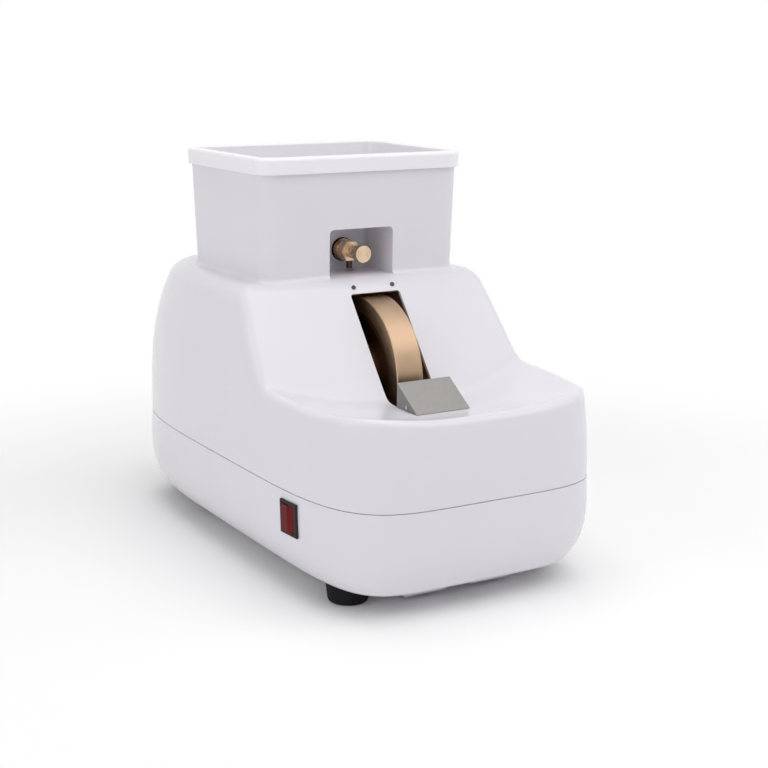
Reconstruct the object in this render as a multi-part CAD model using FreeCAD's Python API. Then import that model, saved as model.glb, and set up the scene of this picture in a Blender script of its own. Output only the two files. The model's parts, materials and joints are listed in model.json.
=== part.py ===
import FreeCAD, Part
import math
import os

os.makedirs("parts", exist_ok=True)
V = FreeCAD.Vector

# Bench lens edger, millimetres.
# Origin on the table under the middle of the body, +X to the right, front towards -Y, +Z up.

# Driving sizes of the moulded body
half_width = 147.5
body_reach = 266.0
seam_z = 103.0
roof_z = 271.0
base_z = 20.5
wall = 3.0
seam_gap = 0.5

# Plan outline: one power for the front half, one for the rear half, squarer at the bottom
front_power = 5.0
rear_power = 3.8
foot_front_power = 5.8
foot_rear_power = 4.4
outline_count = 56

# How far the walls lean in from the seam to the roof, and from the seam to the bottom
roof_side_inset = 15.0
roof_front_inset = 30.0
roof_rear_inset = 58.0
bottom_inset = 20.0
bottom_rear_inset = 10.0
side_lean_power = 2.6
front_lean_power = 2.0
rear_lean_power = 3.0
bottom_lean_power = 3.4
level_shares = (0.0, 0.22, 0.45, 0.65, 0.82, 1.0)
base_level_shares = (0.0, 0.3, 0.55, 0.72, 0.86, 1.0)
roof_round = 14.0
bottom_round = 12.0

# Sloping front panel and the dished deck in front of it
slope_top_y = -47.0
slope_angle = 52.3
slope_bow_radius = 750.0
deck_z = 165.0
deck_flat_half = 30.0
deck_rise_side = 20.0
deck_rise_reach = 140.0
deck_rise_start_y = -184.0
deck_rise_front = 14.5
deck_rise_run = 70.0
deck_rise_power = 1.6
foot_blend = 7.0
front_rows = 21
front_columns = 61

# Rim of the water tank, and the turret under it
rim_top_z = 390.0
rim_skirt_z = 374.0
rim_thick = 4.0
rim_skirt = 3.0
rim_gap = 0.5
rim_outer_round = 3.6
rim_inner_round = 1.8
turret_half = 107.4
turret_front_y = -34.0
turret_rear_y = 137.0
turret_spread = 3.1
turret_corner = 16.0
turret_foot_round = 4.0
tank_gap = 0.8
tank_wall = 3.0
tank_floor_z = 275.0

# Niche for the tap
niche_x = -2.7
niche_half = 35.4
niche_back_y = 23.0
niche_top_z = 318.5
niche_corner = 5.0
drip_hole_radius = 5.0

# Slot for the wheel
slot_half = 27.5
slot_top_z = 258.2
slot_front_y = -170.0
slot_corner = 3.0

# General clearances and cuts
fit = 0.05
seat_gap = 0.2
air_gap = 0.3
overrun = 5.0

# Grinding wheel and its spindle, axis along X
wheel_y = -49.0
wheel_z = 179.0
wheel_radius = 75.0
wheel_width = 28.5
rim_inner_radius = 60.0
rim_edge = 0.8
hub_recess = 1.0
hub_ring = 6.0
hub_web = 12.0
hub_boss_radius = 28.0
hub_boss_width = 20.0
spindle_radius = 10.0
spindle_tail = 6.0
flange_radius = 23.0
flange_thick = 6.0
flange_round = 1.5
collar_radius = 14.0
collar_length = 4.0
nut_flats = 27.0
nut_length = 12.0

# Spindle bearings and housing
bearing_outer = 21.0
bearing_width = 12.0
bearing_wall = 3.2
bearing_ball_count = 8
housing_left = 46.0
housing_length = 58.0
housing_radius = 31.0
housing_foot_half = 42.0
housing_foot_thick = 9.0
cap_thick = 4.0
cap_screw_circle = 26.0
cap_screw_radius = 2.0
cap_screw_head = 3.5
cap_screw_head_height = 2.6
cap_screw_length = 14.0
cap_screw_count = 4

# Bracket that lifts the housing, and the bolts
bracket_top_z = 145.0
bracket_plate = 6.0
bracket_web = 6.0
bracket_foot_reach = 50.0
bolt_radius = 3.0
bolt_head = 5.5
bolt_head_height = 4.0
bolt_edge = 9.0
bolt_from_web = 10.0
housing_bolt_length = 18.0
frame_bolt_length = 11.5

# Belt drive
pulley_gap = 4.0
pulley_width = 18.0
pulley_rim = 2.0
pulley_lip = 3.0
spindle_pulley_radius = 27.0
motor_pulley_radius = 36.0
shaft_end = 1.0
belt_width = 12.0
belt_thick = 4.0

# Motor, axis along X
motor_y = 126.0
motor_z = 100.0
motor_left = -62.0
motor_length = 140.0
motor_radius = 55.0
motor_shell_wall = 3.0
bell_length = 14.0
bell_wall = 5.0
bell_boss_wall = 4.0
motor_shaft_radius = 7.0
motor_bearing_outer = 16.0
motor_bearing_width = 10.0
motor_bearing_wall = 2.6
motor_bearing_setback = 3.0
stator_length = 70.0
stator_bore = 31.0
rotor_gap = 0.6
winding_length = 16.0
winding_step = 2.0
winding_wall = 9.0
tie_rod_circle = 47.0
tie_rod_radius = 2.0
tie_rod_head = 3.5
tie_rod_head_height = 3.0
tie_rod_count = 4
clamp_spacing = 60.0
clamp_width = 12.0
clamp_wall = 3.0
clamp_web_half = 38.0
clamp_foot_half = 62.0
clamp_foot_thick = 4.0

# Chassis plate on bosses of the base
chassis_z = 30.0
chassis_thick = 3.0
chassis_half = 104.0
chassis_front_y = -207.0
chassis_rear_y = 230.0
chassis_corner = 20.0
foot_boss_radius = 12.0

# Rubber feet and their screws
foot_places = ((98.0, -178.0), (84.0, 134.0), (78.0, 215.0))
foot_top_radius = 21.0
foot_bottom_radius = 18.5
foot_bottom_round = 4.0
foot_pad_radius = 22.0
foot_recess_radius = 8.0
foot_recess = 12.0
foot_screw_radius = 3.0
foot_screw_head = 6.0
foot_screw_head_height = 4.0
foot_screw_tail = 2.0
foot_nut_flats = 10.0
foot_nut_height = 5.0

# Two blocks under the front edge of the base
block_inner_x = 13.3
block_outer_x = 58.0
block_front_y = -211.0
block_rear_y = -167.0
block_bottom_z = 4.0
block_round = 3.0

# Screw columns that join cover and base
column_places = ((112.0, -100.0), (112.0, 188.0))
column_radius = 6.0
column_meet_z = 110.0
cover_boss_height = 22.0
cover_screw_radius = 2.0
cover_screw_head = 3.6
cover_screw_head_height = 3.0
cover_screw_seat_z = 84.0
cover_screw_top_z = 124.0
rib_thick = 3.0
tongue_low_z = 94.5
tongue_top_z = 109.0
tongue_gap = 0.4
tongue_thick = 2.0

# Splash chamber round the wheel
chamber_half = 38.0
chamber_wall = 2.5
chamber_lip_gap = 1.5
chamber_rear_y = 34.0
chamber_rear_low_z = 84.0
chamber_top_z = 259.0
chamber_front_y = -173.5
chamber_front_low_z = 108.0
chamber_sump_front_y = -147.0
chamber_sump_rear_y = -107.0
chamber_sump_z = 44.0
chamber_shaft_hole = 17.0
chamber_drip_hole = 6.0
chamber_post_x = 28.0
chamber_post_ys = (-127.0, 18.0)
chamber_post_radius = 6.0
chamber_screw_radius = 2.0
chamber_screw_head = 3.5
chamber_screw_head_height = 2.4
chamber_screw_length = 12.0
seal_lip = 3.0
seal_thick = 2.0

# Lugs of the chamber behind the sloping panel, with the two small screws above the slot
lug_x = 21.6
lug_half = 5.0
lug_depth = 9.0
lug_screw_y = -52.3
lug_screw_radius = 1.5
lug_screw_head = 2.2
lug_screw_head_height = 1.0
lug_screw_length = 10.0

# Drain spout
drain_y = -127.0
drain_z = 56.0
drain_radius = 9.0
drain_wall = 2.0
drain_collar = 3.0
drain_end_x = 147.0
drain_nose_radius = 8.0
drain_nose_length = 18.0
drain_opening_radius = 13.0

# Wheel guard, a folded sheet wedge
guard_half = 28.8
guard_lift = 0.6
guard_sheet = 1.2
guard_back_y = -147.3
guard_front_y = -183.0
guard_top_z = 188.7
guard_flange_rear_y = -171.5
guard_tab_front_y = -178.0
guard_tab_rear_y = -160.0
guard_tab_top_z = 173.0
guard_rivet_y = -165.0
guard_rivet_z = 169.2
guard_rivet_radius = 1.2
guard_rivet_head = 1.9
guard_rivet_head_height = 0.7
guard_screw_x = 18.0
guard_screw_y = -177.0
guard_screw_radius = 1.5
guard_screw_head = 2.6
guard_screw_head_height = 1.8

# Tap, axis along Y
tap_x = 7.0
tap_z = 290.6
tap_hex_flats = 19.0
tap_hex_front_y = 3.5
tap_hex_length = 11.0
tap_body_radius = 8.0
tap_flange_radius = 11.0
tap_flange_thick = 2.5
tap_barrel_radius = 6.6
tap_barrel_front_y = -5.0
tap_barrel_wall = 3.0
tap_stem_radius = 7.0
tap_stem_end_y = 44.0
tap_bore_radius = 4.0
tap_washer = 1.5
tap_washer_radius = 12.0
tap_locknut_length = 6.0
tap_gland_flats = 12.0
tap_gland_length = 3.5
tap_spindle_radius = 3.0
tap_spindle_end_y = 3.0
knob_radius = 8.7
knob_front_y = -21.8
knob_rear_y = -9.5
knob_neck = 3.3
knob_neck_radius = 5.5
knob_front_wall = 6.0
knob_groove_count = 24
knob_groove_radius = 0.5
knob_ring_shares = (0.25, 0.5, 0.75)
knob_ring_depth = 0.5
knob_ring_width = 0.7
spout_y = 8.0
spout_radius = 3.0
spout_wall = 0.8
spout_end_z = 273.0
spout_seat = 3.0

# Rocker switch in the left wall of the base
switch_y = -156.0
switch_z = 79.0
bezel_y = 28.0
bezel_z = 31.5
bezel_proud = 2.2
bezel_wall = 2.8
bezel_edge = 0.7
switch_body_wall = 1.2
switch_body_depth = 24.0
switch_well = 9.0
rocker_gap = 0.4
rocker_tilt = 8.0
rocker_pin_depth = 4.0
rocker_pin_radius = 1.6
rocker_pin_length = 1.0
rocker_ridge = 5.2
rocker_skirt = 3.0
blade_width = 6.3
blade_thick = 0.8
blade_length = 8.0
blade_seat = 3.0
blade_pitch_y = 12.0
blade_pitch_z = 14.0

# Power inlet in the rear wall of the base
inlet_x = -60.0
inlet_z = 62.0
inlet_flange_x = 31.0
inlet_flange_z = 27.0
inlet_flange_thick = 2.5
inlet_flange_corner = 3.0
inlet_sink = 2.0
inlet_body_x = 27.0
inlet_body_z = 20.0
inlet_body_depth = 26.0
inlet_well_x = 24.0
inlet_well_z = 16.5
inlet_well_depth = 20.0
inlet_pin_length = 14.0
inlet_pin_tail = 8.0
inlet_pin_pitch = 7.0
inlet_pin_offset = 2.0
inlet_pin_x = 2.0
inlet_pin_z = 4.0

# Electrical pieces on the chassis
capacitor_x = -84.0
capacitor_y = 16.0
capacitor_length = 74.0
capacitor_radius = 17.0
capacitor_pin_length = 5.0
capacitor_pin_radius = 1.5
capacitor_pin_pitch = 10.0
clip_sheet = 1.2
clip_width = 16.0
clip_foot = 12.0
terminal_x = 10.0
terminal_y = 212.0
terminal_pitch = 10.0
terminal_count = 4
terminal_depth = 22.0
terminal_height = 16.0
terminal_well_radius = 3.0
terminal_well_depth = 8.0
terminal_screw_radius = 2.4
terminal_screw_height = 3.0
small_screw_radius = 1.5
small_screw_head = 2.6
small_screw_head_height = 2.0
small_screw_tail = 2.5
terminal_end = 4.0

# Sizes that follow from those above
turret_top_z = rim_top_z - rim_thick
chassis_top_z = chassis_z + chassis_thick
housing_right = housing_left + housing_length
pulley_left = housing_right + cap_thick + pulley_gap
pulley_right = pulley_left + pulley_width
motor_right = motor_left + motor_length
motor_middle = motor_left + motor_length / 2
guard_low_z = deck_z + guard_lift
tank_step_y = niche_back_y + wall + tank_gap
slope_run = math.tan(math.radians(slope_angle))
slope_share = math.sin(math.radians(slope_angle))
slope_side_share = math.cos(math.radians(slope_angle))


# Plain shapes


def box(low, high):
    """A block from its low corner to its high corner."""
    return Part.makeBox(high[0] - low[0], high[1] - low[1], high[2] - low[2], V(*low))


def rod_x(radius, x0, x1, y, z):
    return Part.makeCylinder(radius, x1 - x0, V(x0, y, z), V(1, 0, 0))


def rod_y(radius, y0, y1, x, z):
    return Part.makeCylinder(radius, y1 - y0, V(x, y0, z), V(0, 1, 0))


def rod_z(radius, z0, z1, x, y):
    return Part.makeCylinder(radius, z1 - z0, V(x, y, z0), V(0, 0, 1))


def ring_x(outer, inner, x0, x1, y, z):
    """A tube along X with square ends."""
    return rod_x(outer, x0, x1, y, z).cut(rod_x(inner, x0 - overrun, x1 + overrun, y, z))


def hexagon(flats, start, axis, length):
    """A hexagonal prism from a start point along an axis, measured across its flats."""
    corner = flats / math.sqrt(3)
    points = [V(corner * math.cos(math.pi * i / 3), corner * math.sin(math.pi * i / 3), 0) for i in range(7)]
    prism = Part.Face(Part.makePolygon(points)).extrude(V(0, 0, length))
    prism.Placement = FreeCAD.Placement(V(*start), FreeCAD.Rotation(V(0, 0, 1), V(*axis)))
    return prism


def prism_x(profile, x0, x1):
    """A profile of (y, z) corners carried along X."""
    points = [V(x0, y, z) for y, z in profile]
    return Part.Face(Part.makePolygon(points + points[:1])).extrude(V(x1 - x0, 0, 0))


def moved_in(profile, distances):
    """A counter-clockwise (y, z) profile with each side moved in by its own distance."""
    lines = []
    count = len(profile)
    for i in range(count):
        y0, z0 = profile[i]
        y1, z1 = profile[(i + 1) % count]
        length = math.hypot(y1 - y0, z1 - z0)
        along = ((y1 - y0) / length, (z1 - z0) / length)
        lines.append((y0 - along[1] * distances[i], z0 + along[0] * distances[i], along))
    corners = []
    for i in range(count):
        ya, za, a = lines[i - 1]
        yb, zb, b = lines[i]
        turn = a[0] * b[1] - a[1] * b[0]
        reach = ((yb - ya) * b[1] - (zb - za) * b[0]) / turn
        corners.append((ya + a[0] * reach, za + a[1] * reach))
    return corners


def fused(pieces):
    """One solid from pieces that overlap."""
    whole = pieces[0].fuse(pieces[1:])
    return whole.removeSplitter()


def cut_all(shape, cutters):
    for cutter in cutters:
        shape = shape.cut(cutter)
    return shape


def both_sides(places):
    """Places given for the right side, with the same places on the left."""
    return [(side * x, y) for x, y in places for side in (1, -1)]


def edges_at_height(shape, z):
    return [e for e in shape.Edges if abs(e.BoundBox.ZMin - z) < fit and abs(e.BoundBox.ZMax - z) < fit]


def round_circle(centre_y, centre_z, radius, turn):
    """A point of a circle in the YZ plane."""
    return centre_y + radius * math.cos(turn), centre_z + radius * math.sin(turn)


def save(name, shape):
    """Write one node as its own file."""
    solids = shape.Solids
    for solid in solids:
        if not solid.isValid() or solid.Volume <= 0:
            print("not valid:", name)
    kept = solids[0] if len(solids) == 1 else Part.makeCompound(solids)
    kept.exportStep("parts/" + name + ".step")
    print(name, len(solids), round(kept.Volume))


# Surfaces of the body


def outline(height, half, front, rear, power_front, power_rear):
    """A closed superellipse in plan: |x/a|^n + |y/b|^n = 1, with its own b and n front and rear."""
    points = []
    for i in range(outline_count):
        turn = 2 * math.pi * i / outline_count
        across = math.cos(turn)
        along = math.sin(turn)
        power = power_front if along < 0 else power_rear
        reach = front if along < 0 else rear
        size = (abs(across) ** power + abs(along) ** power) ** (-1 / power)
        points.append(V(half * across * size, reach * along * size, height))
    curve = Part.BSplineCurve()
    curve.interpolate(Points=points, PeriodicFlag=True)
    return Part.Wire(curve.toShape())


def cover_level(share, inset):
    """The cover's plan outline at a share of the height from seam to roof."""
    return outline(
        seam_z + (roof_z - inset - seam_z) * share,
        half_width - roof_side_inset * share**side_lean_power - inset,
        body_reach - roof_front_inset * share**front_lean_power - inset,
        body_reach - roof_rear_inset * share**rear_lean_power - inset,
        front_power,
        rear_power,
    )


def base_level(share, inset):
    """The base's plan outline at a share of the height from the seam down to the bottom."""
    lean = bottom_inset * share**bottom_lean_power
    rear_lean = bottom_rear_inset * share**bottom_lean_power
    return outline(
        seam_z - (seam_z - base_z - inset) * share,
        half_width - lean - inset,
        body_reach - lean - inset,
        body_reach - rear_lean - inset,
        front_power + (foot_front_power - front_power) * share,
        rear_power + (foot_rear_power - rear_power) * share,
    )


def slope_top_at(x, inset):
    """Where the sloping panel would meet the roof height, bowed back towards the sides."""
    return slope_top_y + x * x / (2 * slope_bow_radius) + inset / slope_share


def slope_y_at(x, z, inset):
    """The sloping panel's y at a height, ignoring the blend at its foot."""
    return slope_top_at(x, inset) + (z - roof_z) / slope_run


def deck_at(x, y):
    """Height of the dished deck: flat in the middle, rising to the sides and to the front edge."""
    side = max(0, abs(x) - deck_flat_half) / (deck_rise_reach - deck_flat_half)
    front = max(0, deck_rise_start_y - y) / deck_rise_run
    return deck_z + deck_rise_side * side**2 + deck_rise_front * front**deck_rise_power


def front_height(x, y, inset):
    """Sloping panel and deck as one height, blended at the foot of the slope."""
    slope = roof_z + (y - slope_top_at(x, inset)) * slope_run
    deck = deck_at(x, y) - inset
    gap = slope - deck
    return (slope + deck + math.sqrt(gap * gap + foot_blend * foot_blend)) / 2


def front_cutter(inset):
    """All the space above the sloping panel and the deck."""
    far = half_width + overrun
    low_y = -body_reach - overrun
    high_y = slope_top_y + roof_round + roof_round
    grid = []
    for i in range(front_rows):
        x = -far + 2 * far * i / (front_rows - 1)
        line = []
        for j in range(front_columns):
            y = low_y + (high_y - low_y) * j / (front_columns - 1)
            line.append(V(x, y, front_height(x, y, inset)))
        grid.append(line)
    surface = Part.BSplineSurface()
    surface.interpolate(grid)
    return surface.toShape().extrude(V(0, 0, roof_z))


def rounded_plate(x0, x1, y0, y1, corner, z):
    """A closed wire: a rectangle with round corners at one height."""
    centres = (
        (x1 - corner, y1 - corner),
        (x0 + corner, y1 - corner),
        (x0 + corner, y0 + corner),
        (x1 - corner, y0 + corner),
    )
    arcs = []
    for i, (cx, cy) in enumerate(centres):
        circle = Part.Circle(V(cx, cy, z), V(0, 0, 1), corner)
        arcs.append(Part.ArcOfCircle(circle, math.pi * i / 2, math.pi * (i + 1) / 2))
    edges = []
    for i, arc in enumerate(arcs):
        edges.append(arc.toShape())
        edges.append(Part.LineSegment(arc.EndPoint, arcs[(i + 1) % 4].StartPoint).toShape())
    return Part.Wire(edges)


def turret_at(z, inset):
    """The turret's outline at a height; its walls spread a little towards the top."""
    grow = turret_spread * (z - roof_z) / (turret_top_z - roof_z) - inset
    return rounded_plate(
        -turret_half - grow,
        turret_half + grow,
        turret_front_y - grow,
        turret_rear_y + grow,
        turret_corner - inset,
        z,
    )


def turret_block(z0, z1, inset):
    return Part.makeLoft([turret_at(z0, inset), turret_at(z1, inset)], True, True)


def niche_block(grow, front_y):
    """The niche with its walls grown outwards, from a front plane to its back."""
    block = box(
        (niche_x - niche_half - grow, front_y, roof_z - grow),
        (niche_x + niche_half + grow, niche_back_y + grow, niche_top_z + grow),
    )
    top = [e for e in block.Edges if e.BoundBox.YLength > wall and abs(e.BoundBox.ZMin - niche_top_z - grow) < fit]
    return block.makeFillet(niche_corner, top)


def plan_ring(outer_inset, inner_inset, z0, z1):
    """A straight ring that follows the seam outline."""
    outer = outline(
        z0, half_width - outer_inset, body_reach - outer_inset, body_reach - outer_inset, front_power, rear_power
    )
    inner = outline(
        z0, half_width - inner_inset, body_reach - inner_inset, body_reach - inner_inset, front_power, rear_power
    )
    lift = V(0, 0, z1 - z0)
    return Part.Face(outer).extrude(lift).cut(Part.Face(inner).extrude(lift))


def seam_half_at(y):
    """The half width of the seam outline at a y."""
    power = front_power if y < 0 else rear_power
    return half_width * (1 - (abs(y) / body_reach) ** power) ** (1 / power)


def base_sizes_at(z):
    """Half width, front and rear reach and the two powers of the base's outline at a height."""
    share = (seam_z - z) / (seam_z - base_z)
    lean = bottom_inset * share**bottom_lean_power
    rear_lean = bottom_rear_inset * share**bottom_lean_power
    power_front = front_power + (foot_front_power - front_power) * share
    power_rear = rear_power + (foot_rear_power - rear_power) * share
    return half_width - lean, body_reach - lean, body_reach - rear_lean, power_front, power_rear


def left_wall_point(y, z):
    half, reach, _, power, _ = base_sizes_at(z)
    return V(-half * (1 - (abs(y) / reach) ** power) ** (1 / power), y, z)


def rear_wall_point(x, z):
    half, _, reach, _, power = base_sizes_at(z)
    return V(x, reach * (1 - (abs(x) / half) ** power) ** (1 / power), z)


def wall_placement(point, a, b, outward, sink=0):
    """Carries a shape from the origin to a wall point, square to the wall and sunk into it."""
    here = point(a, b)
    normal = (point(a + wall, b) - here).cross(point(a, b + wall) - here)
    normal.normalize()
    if normal.dot(outward) < 0:
        normal = normal * -1
    return FreeCAD.Placement(here - normal * sink, FreeCAD.Rotation(outward, normal))


def placed(shape, placement):
    copy = shape.copy()
    copy.Placement = placement
    return copy


switch_place = wall_placement(left_wall_point, switch_y, switch_z, V(-1, 0, 0))
inlet_place = wall_placement(rear_wall_point, inlet_x, inlet_z, V(0, 1, 0), inlet_sink)


# Covers


def cover_body(inset, round_roof):
    """The cover's outer form, moved in by an inset, without the turret."""
    body = Part.makeLoft([cover_level(share, inset) for share in level_shares], True)
    body = body.makeFillet(round_roof, edges_at_height(body, roof_z - inset))
    return body.cut(front_cutter(inset))


def lug_screw_place(side):
    """Point and inward direction of a small screw in the sloping panel."""
    x = side * lug_x
    z = roof_z + (lug_screw_y - slope_top_at(x, 0)) * slope_run
    return V(x, lug_screw_y, z), V(0, slope_share, -slope_side_share)


def lug_screw_hole(side, radius):
    here, inward = lug_screw_place(side)
    return Part.makeCylinder(radius, lug_screw_length + overrun, here - inward * overrun, inward)


def lug_screw_seat(side):
    """The space over a small screw's seat, so that its head lies on a flat."""
    here, inward = lug_screw_place(side)
    return Part.makeCylinder(lug_screw_head + seat_gap, overrun, here - inward * overrun, inward)


def cover_boss(x, y):
    """A screw boss in the cover, with a rib to the side wall."""
    side = 1 if x > 0 else -1
    top = column_meet_z + cover_boss_height
    reach = seam_half_at(y) - wall / 2
    rib = box(
        (min(x, side * reach), y - rib_thick / 2, column_meet_z),
        (max(x, side * reach), y + rib_thick / 2, top),
    )
    return [rod_z(column_radius, column_meet_z, top, x, y), rib]


def cover_hollow():
    """The space inside the cover, with the screw bosses and their ribs left standing."""
    posts = []
    for x, y in both_sides(column_places):
        posts += cover_boss(x, y)
    return cover_body(wall, roof_round - wall).cut(posts[0].fuse(posts[1:]))


def wheel_slot():
    """The slot for the wheel, through the sloping panel and the deck."""
    slot = box(
        (-slot_half, slot_front_y, deck_z - wall - overrun),
        (slot_half, slope_top_y, slot_top_z),
    )
    return slot.makeFillet(slot_corner, [e for e in slot.Edges if max(e.BoundBox.YLength, e.BoundBox.ZLength) > wall])


def turret_foot_edges(body):
    """The edges where the turret stands on the roof."""
    edges = []
    for edge in edges_at_height(body, roof_z):
        if edge.BoundBox.XMax < turret_half + fit and edge.BoundBox.YMin > turret_front_y - fit:
            edges.append(edge)
    return edges


def top_cover():
    """The outer form with its turret, then the hollows and the holes cut out of it."""
    body = cover_body(0, roof_round).fuse(turret_block(roof_z - wall / 2, turret_top_z, 0))
    body = body.makeFillet(turret_foot_round, turret_foot_edges(body))
    cutters = [
        turret_block(roof_z, turret_top_z + overrun, wall).cut(niche_block(wall, -body_reach)),
        niche_block(0, turret_front_y - overrun - overrun),
        cover_hollow(),
        wheel_slot(),
        rod_z(drip_hole_radius, roof_z - wall - overrun, roof_z + overrun, tap_x, spout_y),
        rod_y(tap_stem_radius + seat_gap, niche_back_y - overrun, niche_back_y + wall + overrun, tap_x, tap_z),
    ]
    for side in (1, -1):
        x = side * guard_screw_x
        cutters.append(lug_screw_hole(side, lug_screw_radius + seat_gap))
        cutters.append(lug_screw_seat(side))
        cutters.append(
            rod_z(guard_screw_radius + seat_gap, deck_z - wall - overrun, deck_z + overrun, x, guard_screw_y)
        )
    for x, y in both_sides(column_places):
        cutters.append(rod_z(cover_screw_radius + fit, column_meet_z - overrun, cover_screw_top_z + seat_gap, x, y))
    return cut_all(body, cutters)


def tongue():
    """The ring inside the base's edge that stands up into the cover."""
    ring = plan_ring(wall / 2, wall + tongue_gap + tongue_thick, tongue_low_z, tongue_top_z)
    return ring.cut(plan_ring(-overrun, wall + tongue_gap, seam_z - seam_gap, tongue_top_z + overrun))


def base_shell():
    outer = Part.makeLoft([base_level(share, 0) for share in base_level_shares], True)
    outer = outer.makeFillet(bottom_round, edges_at_height(outer, base_z))
    inner = Part.makeLoft([base_level(share, wall) for share in base_level_shares], True)
    inner = inner.makeFillet(bottom_round - wall, edges_at_height(inner, base_z + wall))
    above = box(
        (-half_width - overrun, -body_reach - overrun, seam_z - seam_gap),
        (half_width + overrun, body_reach + overrun, roof_z),
    )
    shell = outer.cut(inner).cut(above)
    pieces = [shell, tongue()]
    for x, y in both_sides(foot_places):
        pieces.append(rod_z(foot_pad_radius, base_z, base_z + wall / 2, x, y))
        pieces.append(rod_z(foot_boss_radius, base_z + wall / 2, chassis_z, x, y))
    for x, y in both_sides(column_places):
        pieces.append(rod_z(column_radius, base_z + wall / 2, column_meet_z, x, y))
    for side in (1, -1):
        block = box(
            (min(side * block_inner_x, side * block_outer_x), block_front_y, block_bottom_z),
            (max(side * block_inner_x, side * block_outer_x), block_rear_y, base_z + wall / 2),
        )
        block = block.makeFillet(block_round, [e for e in block.Edges if e.BoundBox.ZMax < base_z])
        pieces.append(block)
    shell = pieces[0].fuse(pieces[1:])
    cutters = []
    for x, y in both_sides(foot_places):
        cutters.append(rod_z(foot_screw_radius + seat_gap, base_z - overrun, chassis_z + overrun, x, y))
    for x, y in both_sides(column_places):
        cutters.append(rod_z(cover_screw_head + seat_gap, base_z - overrun, cover_screw_seat_z, x, y))
        cutters.append(rod_z(cover_screw_radius + seat_gap, base_z, column_meet_z + overrun, x, y))
    cutters.append(placed(switch_body(seat_gap), switch_place))
    cutters.append(placed(inlet_body(seat_gap), inlet_place))
    cutters.append(placed(inlet_recess(), inlet_place))
    cutters.append(rod_x(drain_opening_radius, chassis_half, half_width + overrun, drain_y, drain_z))
    return cut_all(shell, cutters)


# Feet and chassis


def rubber_feet():
    feet = []
    for x, y in both_sides(foot_places):
        foot = Part.makeCone(foot_bottom_radius, foot_top_radius, base_z, V(x, y, 0))
        foot = foot.makeFillet(foot_bottom_round, edges_at_height(foot, 0))
        foot = foot.cut(rod_z(foot_recess_radius, -overrun, foot_recess, x, y))
        feet.append(foot.cut(rod_z(foot_screw_radius + fit, 0, base_z + overrun, x, y)))
    return Part.makeCompound(feet)


def foot_screws():
    screws = []
    top = chassis_top_z + foot_nut_height + foot_screw_tail
    for x, y in both_sides(foot_places):
        head = rod_z(foot_screw_head, foot_recess - foot_screw_head_height, foot_recess, x, y)
        screws.append(fused([head, rod_z(foot_screw_radius, foot_recess - foot_screw_head_height / 2, top, x, y)]))
    return Part.makeCompound(screws)


def foot_nuts():
    nuts = []
    for x, y in both_sides(foot_places):
        nut = hexagon(foot_nut_flats, (x, y, chassis_top_z), (0, 0, 1), foot_nut_height)
        nuts.append(nut.cut(rod_z(foot_screw_radius + fit, chassis_z, chassis_top_z + foot_nut_height + overrun, x, y)))
    return Part.makeCompound(nuts)


def bracket_bolt_places():
    """Bolts in the bracket's foot, clear of its webs."""
    xs = (housing_left + bracket_web + bolt_from_web, housing_right - bracket_web - bolt_from_web)
    reach = bracket_foot_reach - bolt_edge
    return [(x, wheel_y + side * reach) for x in xs for side in (1, -1)]


def housing_bolt_places():
    xs = (housing_left + bracket_web + bolt_from_web, housing_right - bracket_web - bolt_from_web)
    reach = housing_foot_half - bolt_head + seat_gap
    return [(x, wheel_y + side * reach) for x in xs for side in (1, -1)]


def clamp_xs():
    return (motor_middle - clamp_spacing / 2, motor_middle + clamp_spacing / 2)


def clamp_bolt_places():
    reach = clamp_foot_half - bolt_edge
    return [(x, motor_y + side * reach) for x in clamp_xs() for side in (1, -1)]


def clip_screw_place():
    foot_middle = capacitor_x + capacitor_radius + air_gap + clip_sheet + clip_foot / 2
    return foot_middle, capacitor_y + capacitor_length / 2


def terminal_screw_places():
    reach = terminal_pitch * terminal_count / 2 + terminal_end / 2 + small_screw_head / 2
    return [(terminal_x + side * reach, terminal_y) for side in (1, -1)]


def chamber_post_places():
    return both_sides([(chamber_post_x, y) for y in chamber_post_ys])


def chassis_plate():
    wire = rounded_plate(-chassis_half, chassis_half, chassis_front_y, chassis_rear_y, chassis_corner, chassis_z)
    plate = Part.Face(wire).extrude(V(0, 0, chassis_thick))
    holes = [(place, foot_screw_radius + seat_gap) for place in both_sides(foot_places)]
    holes += [(place, bolt_radius + fit) for place in bracket_bolt_places() + clamp_bolt_places()]
    holes += [(place, chamber_screw_radius + seat_gap) for place in chamber_post_places()]
    holes += [(place, small_screw_radius + fit) for place in [clip_screw_place()] + terminal_screw_places()]
    cutters = [rod_z(radius, chassis_z - overrun, chassis_top_z + overrun, x, y) for (x, y), radius in holes]
    return cut_all(plate, cutters)


def screw_up(x, y, seat_z, radius, head, head_height, length):
    """A screw driven from below: its head under the seat, its shank above."""
    shank = rod_z(radius, seat_z - head_height / 2, seat_z + length, x, y)
    return fused([rod_z(head, seat_z - head_height, seat_z, x, y), shank])


def screw_down(x, y, seat_z, radius, head, head_height, length):
    """A screw driven from above: its head on the seat, its shank below."""
    shank = rod_z(radius, seat_z - length, seat_z + head_height / 2, x, y)
    return fused([rod_z(head, seat_z, seat_z + head_height, x, y), shank])


def cover_screws():
    length = cover_screw_top_z - cover_screw_seat_z
    screws = []
    for x, y in both_sides(column_places):
        screws.append(
            screw_up(x, y, cover_screw_seat_z, cover_screw_radius, cover_screw_head, cover_screw_head_height, length)
        )
    return Part.makeCompound(screws)


# Splash chamber


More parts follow.
